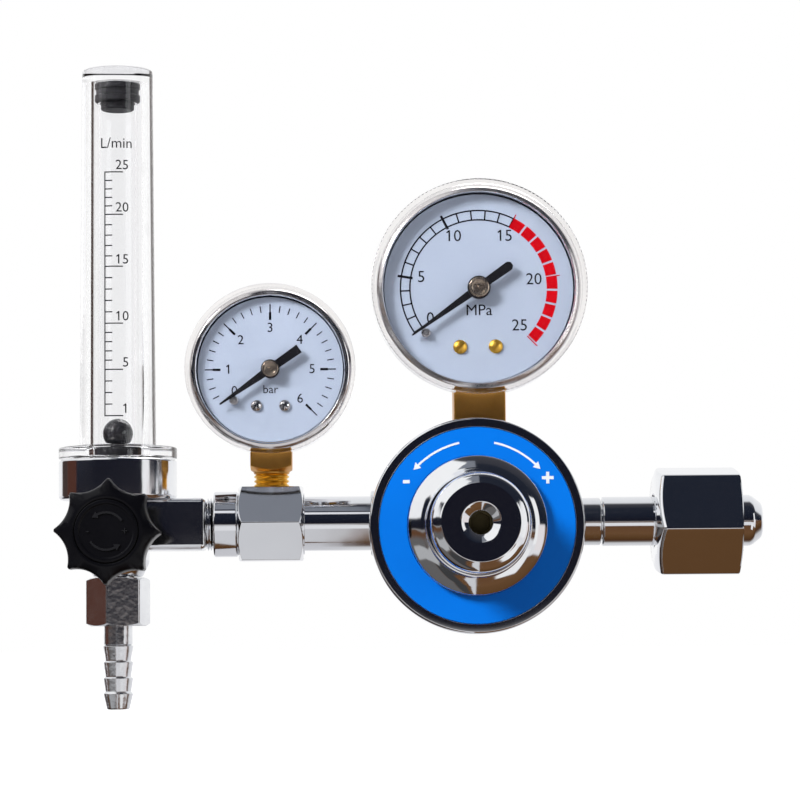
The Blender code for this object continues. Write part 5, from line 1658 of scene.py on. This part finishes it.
def gauges() -> list[DialGauge]:
    """The outlet's gauge and the cylinder's, with their sizes.

    Returns:
        The two gauges, not yet built.
    """
    working = DialGauge(
        name="working", station=Station((TEE_PORT_X, 0.0, 45.6), Facing.FRONT),
        case_r=23.85, wall=1.95, case_finish=BRIGHT_CASE, depth=12.5, face=11.0, slope=0.25,
        cover_r=25.3, cover_front=15.3, knurls=0, stem_w=12.4, foot=-29.7, foot_slope=0.5,
        thread_r=5.25, thread_end=-41.3, screws=((-4.2, -10.8), (4.2, -10.8)), screw_r=1.75,
        slots=2, screw_finish=PLATING, pin=(-10.9, -9.2), pin_r=1.35, hand=18.3, tail=10.5,
        tail_round=0.0, hub_r=2.8, rest_deg=214.9, style=ScaleStyle.STROKES)
    contents = DialGauge(
        name="contents", station=Station((CONTENTS_X, 0.0, 69.5), Facing.FRONT),
        case_r=30.3, wall=1.8, case_finish=CASE_PLATING, depth=13.5, face=12.0, slope=0.6,
        cover_r=32.2, cover_front=16.5, knurls=150, stem_w=15.4, foot=-39.9, foot_slope=0.08,
        thread_r=6.5, thread_end=-48.0, screws=((-5.7, -17.6), (4.9, -17.5)), screw_r=2.1,
        slots=1, screw_finish=BRIGHT_BRASS, pin=(-15.9, -13.4), pin_r=1.4, hand=24.5,
        tail=12.1, tail_round=0.9, hub_r=3.45, rest_deg=215.3, style=ScaleStyle.CELLS)
    return [working, contents]


# Studio


@dataclass(frozen=True)
class Card:
    """A light or dark card in the room, by the directions that it fills, in degrees."""

    azimuth: tuple[float, float]      # from the viewer's side, to the right
    elevation: tuple[float, float]
    colour: Colour
    soft: float = 4.0


ROOM_BANDS = (
    (-180, (0.90, 0.90, 0.92)), (-125, (0.62, 0.62, 0.64)), (-114, (0.20, 0.17, 0.15)),
    (-104, (0.07, 0.03, 0.015)), (-88, (0.10, 0.048, 0.018)), (-60, (0.15, 0.075, 0.034)),
    (-10, (0.12, 0.055, 0.027)), (-5, (0.11, 0.055, 0.027)), (-3.4, (0.42, 0.42, 0.43)),
    (-1.5, (0.007, 0.007, 0.013)), (20, (0.009, 0.012, 0.023)), (60, (0.015, 0.019, 0.031)),
    (84, (0.06, 0.06, 0.07)), (96, (0.80, 0.81, 0.83)), (180, (1.0, 1.0, 1.0)))
ROOM_CARDS = (
    Card((-84, -40), (-75, -8), (0.13, 0.125, 0.125), 6.0),
    Card((-40, -20), (-80, -8), (0.05, 0.05, 0.052), 4.0),
    Card((-75, -18), (-29, -16), (0.44, 0.445, 0.455), 2.0),
    Card((-11, 0.6), (-95, -5), (0.65, 0.655, 0.68), 1.5),
    Card((-185, -162), (-95, -30), (0.62, 0.62, 0.65), 3.0),
    Card((-160, -96), (-70, -16), (0.02, 0.018, 0.02), 4.0),
    Card((-96, -48), (8, 26), (0.95, 0.95, 0.96), 2.0),
    Card((-118, -11), (24, 72), (1.0, 1.0, 1.0), 3.0),
    Card((-22, 1.6), (38, 47), (0.85, 0.86, 0.9), 1.2),
    Card((-22, 1.6), (52, 74), (0.21, 0.225, 0.26), 1.5),
    Card((-134, -110), (-30, 18), (0.06, 0.04, 0.035), 4.0),
    Card((-112, -84), (-10, 18), (0.085, 0.032, 0.022), 4.0),
    Card((-16, 80), (-24, -9), (0.80, 0.80, 0.82), 3.0),
    Card((52, 68), (-14, 24), (0.95, 0.95, 0.95), 2.0),
    Card((20, 50), (-42, -16), (0.92, 0.92, 0.92), 3.0),
    Card((62, 80), (-20, 2), (0.85, 0.80, 0.80), 2.0))
THROUGH_CARDS = (
    Card((-179, -114), (-50, 60), (0.05, 0.035, 0.035), 2.0),
    Card((132, 160), (-50, 60), (0.42, 0.40, 0.42), 8.0))


@dataclass
class Studio:
    """Camera, lamps, surroundings and the pale floor."""

    target: Point = (-108.0, 0.0, 36.9)
    distance: float = 900.0
    lens: float = 135.0
    azimuth: float = -1.05
    elevation: float = -4.5
    roll: float = 0.5
    floor_z: float = -78.0
    floor_r: float = 9000.0
    ambient: float = 0.24

    def build(self) -> None:
        """Set up everything that isn't the object."""
        self.camera()
        self.floor()
        self.surroundings()
        self.lamp("key", (-700, -500, 520), 260, 13.0, (1.0, 0.99, 0.98))
        self.lamp("fill", (520, -560, 160), 380, 1.0, (0.96, 0.98, 1.0))
        self.lamp("rim", (60, 420, 700), 500, 3.0, (1.0, 1.0, 1.0))
        view = bpy.context.scene.view_settings
        view.view_transform, view.look = "Standard", "None"

    def camera(self) -> None:
        """The viewing angle: a long lens just below the object's middle, slightly rolled."""
        azimuth, elevation, roll = (math.radians(v) for v in
                                    (self.azimuth, self.elevation, self.roll))
        back = Vector((math.sin(azimuth) * math.cos(elevation),
                       -math.cos(azimuth) * math.cos(elevation), math.sin(elevation)))
        right = Vector((math.cos(azimuth), math.sin(azimuth), 0.0))
        up = back.cross(right)
        level_right = right * math.cos(roll) - up * math.sin(roll)
        level_up = right * math.sin(roll) + up * math.cos(roll)
        lens = bpy.data.cameras.new("camera")
        lens.lens, lens.sensor_width, lens.clip_end = self.lens, 36.0, 100.0
        camera = bpy.data.objects.new("camera", lens)
        turn = Matrix((level_right, level_up, back)).transposed().to_4x4()
        place = Matrix.Translation((Vector(self.target) + back * self.distance) * MM)
        camera.matrix_world = place @ turn
        bpy.context.scene.collection.objects.link(camera)
        bpy.context.scene.camera = camera

    def floor(self) -> None:
        """A wide pale floor, kept out of the plating's reflections."""
        disc = Workpiece()
        bmesh.ops.create_circle(disc.bm, cap_ends=True, segments=MEDIUM_STEPS,
                                radius=self.floor_r)
        mesh = disc.to_mesh("floor", Station((0, 0, self.floor_z)).matrix())
        floor = bpy.data.objects.new("floor", mesh)
        bpy.context.scene.collection.objects.link(floor)
        paint = bpy.data.materials.new("floor")
        paint.use_nodes = True
        feed(paint.node_tree, paint.node_tree.nodes["Principled BSDF"], {
            "Base Color": (0.92, 0.92, 0.92, 1.0), "Roughness": 0.9,
            "Specular IOR Level": 0.0, "Emission Color": (1.0, 1.0, 1.0, 1.0),
            "Emission Strength": 1.0})
        mesh.materials.append(paint)
        floor.visible_glossy = floor.visible_diffuse = floor.visible_transmission = False

    def lamp(self, name: str, at: Point, size: float, power: float, colour: Colour) -> None:
        """A square soft lamp that faces the object and doesn't show in its plating.

        Args:
            name: Its name.
            at: Its middle, in mm.
            size: Its width, in mm.
            power: Its power, in watts.
            colour: Its colour.
        """
        data = bpy.data.lights.new(name, "AREA")
        data.size, data.energy, data.color = size * MM, power, colour
        lamp = bpy.data.objects.new(name, data)
        place = Vector(at) * MM
        way = (Vector(self.target) * MM - place).to_track_quat("-Z", "Y")
        lamp.matrix_world = Matrix.Translation(place) @ way.to_matrix().to_4x4()
        lamp.visible_glossy = False
        bpy.context.scene.collection.objects.link(lamp)

    def surroundings(self) -> None:
        """White behind the object, and a dark room with light cards in its reflections."""
        world = bpy.context.scene.world = bpy.data.worlds.new("studio")
        world.use_nodes = True
        tree = world.node_tree
        tree.nodes.clear()
        way = wire(tree, "TexCoord").outputs["Generated"]
        x, y, z = wire(tree, "SeparateXYZ", {0: way}).outputs
        forward = arithmetic(tree, "MULTIPLY", y, -1.0)
        pitch = arithmetic(tree, "ARCTAN2", z, forward)
        azimuth = arithmetic(tree, "ARCTAN2", x, forward)
        angles = [arithmetic(tree, "MULTIPLY", angle, math.degrees(1))
                  for angle in (azimuth, arithmetic(tree, "ARCSINE", z))]
        share = wire(tree, "MapRange", {"Value": pitch, "From Min": -math.pi,
                                        "From Max": math.pi})
        ramp = wire(tree, "ValToRGB", {"Fac": share.outputs["Result"]})
        elements = ramp.color_ramp.elements
        elements.remove(elements[-1])
        for number, (degrees, colour) in enumerate(ROOM_BANDS):
            where = (degrees + 180) / 360
            stop = elements.new(where) if number else elements[0]
            stop.position, stop.color = where, (*colour, 1.0)
        white = wire(tree, "RGB").outputs[0]
        white.default_value = (1.0, 1.0, 1.0, 1.0)
        path = wire(tree, "LightPath").outputs
        seen = self.background(tree, white)
        for flag, colour, strength in (
                ("Is Diffuse Ray", white, self.ambient),
                ("Is Transmission Ray", self.hang(tree, white, angles, THROUGH_CARDS), 1.0),
                ("Is Glossy Ray", self.hang(tree, ramp.outputs[0], angles, ROOM_CARDS), 1.0)):
            shader = self.background(tree, colour, strength)
            seen = wire(tree, "MixShader", {"Fac": path[flag], 1: seen, 2: shader}).outputs[0]
        wire(tree, "OutputWorld", {"Surface": seen})

    @staticmethod
    def background(tree: Tree, colour: Socket, strength: float = 1.0) -> Socket:
        """A Background shader of a colour."""
        return wire(tree, "Background", {"Color": colour, "Strength": strength}).outputs[0]

    @staticmethod
    def hang(tree: Tree, colour: Socket, angles: Sequence[Socket], cards: Sequence[Card]
             ) -> Socket:
        """Put cards up in front of a background.

        Args:
            tree: The world's node tree.
            colour: The background.
            angles: Azimuth and elevation in degrees.
            cards: The cards, from back to front.

        Returns:
            The colour of the room with its cards.
        """
        for card in cards:
            masks = []
            for angle, (low, high) in zip(angles, (card.azimuth, card.elevation)):
                off = arithmetic(tree, "ABSOLUTE", arithmetic(
                    tree, "SUBTRACT", angle, (low + high) / 2))
                masks.append(wire(tree, "MapRange", {
                    "Value": off, "From Min": (high - low + card.soft) / 2,
                    "From Max": (high - low - card.soft) / 2},
                    interpolation_type="SMOOTHSTEP").outputs["Result"])
            colour = wire(tree, "Mix", {
                "Factor": arithmetic(tree, "MULTIPLY", *masks), "A": colour,
                "B": (*card.colour, 1.0)}, data_type="RGBA").outputs["Result"]
        return colour


def main() -> None:
    """Build the studio and every sub-assembly in turn."""
    logging.basicConfig(level=logging.INFO, format="%(name)s %(message)s")
    Studio().build()
    assemblies: list[Assembly] = [FlowTube(), ValveBody(), Knob(), HoseOutlet(), GaugeTee(),
                                  Inlet(), Regulator(), *gauges()]
    for assembly in assemblies:
        assembly.build()
        LOG.info("%s: %d pieces", type(assembly).__name__, len(assembly.pieces))


if __name__ == "__main__":
    main()
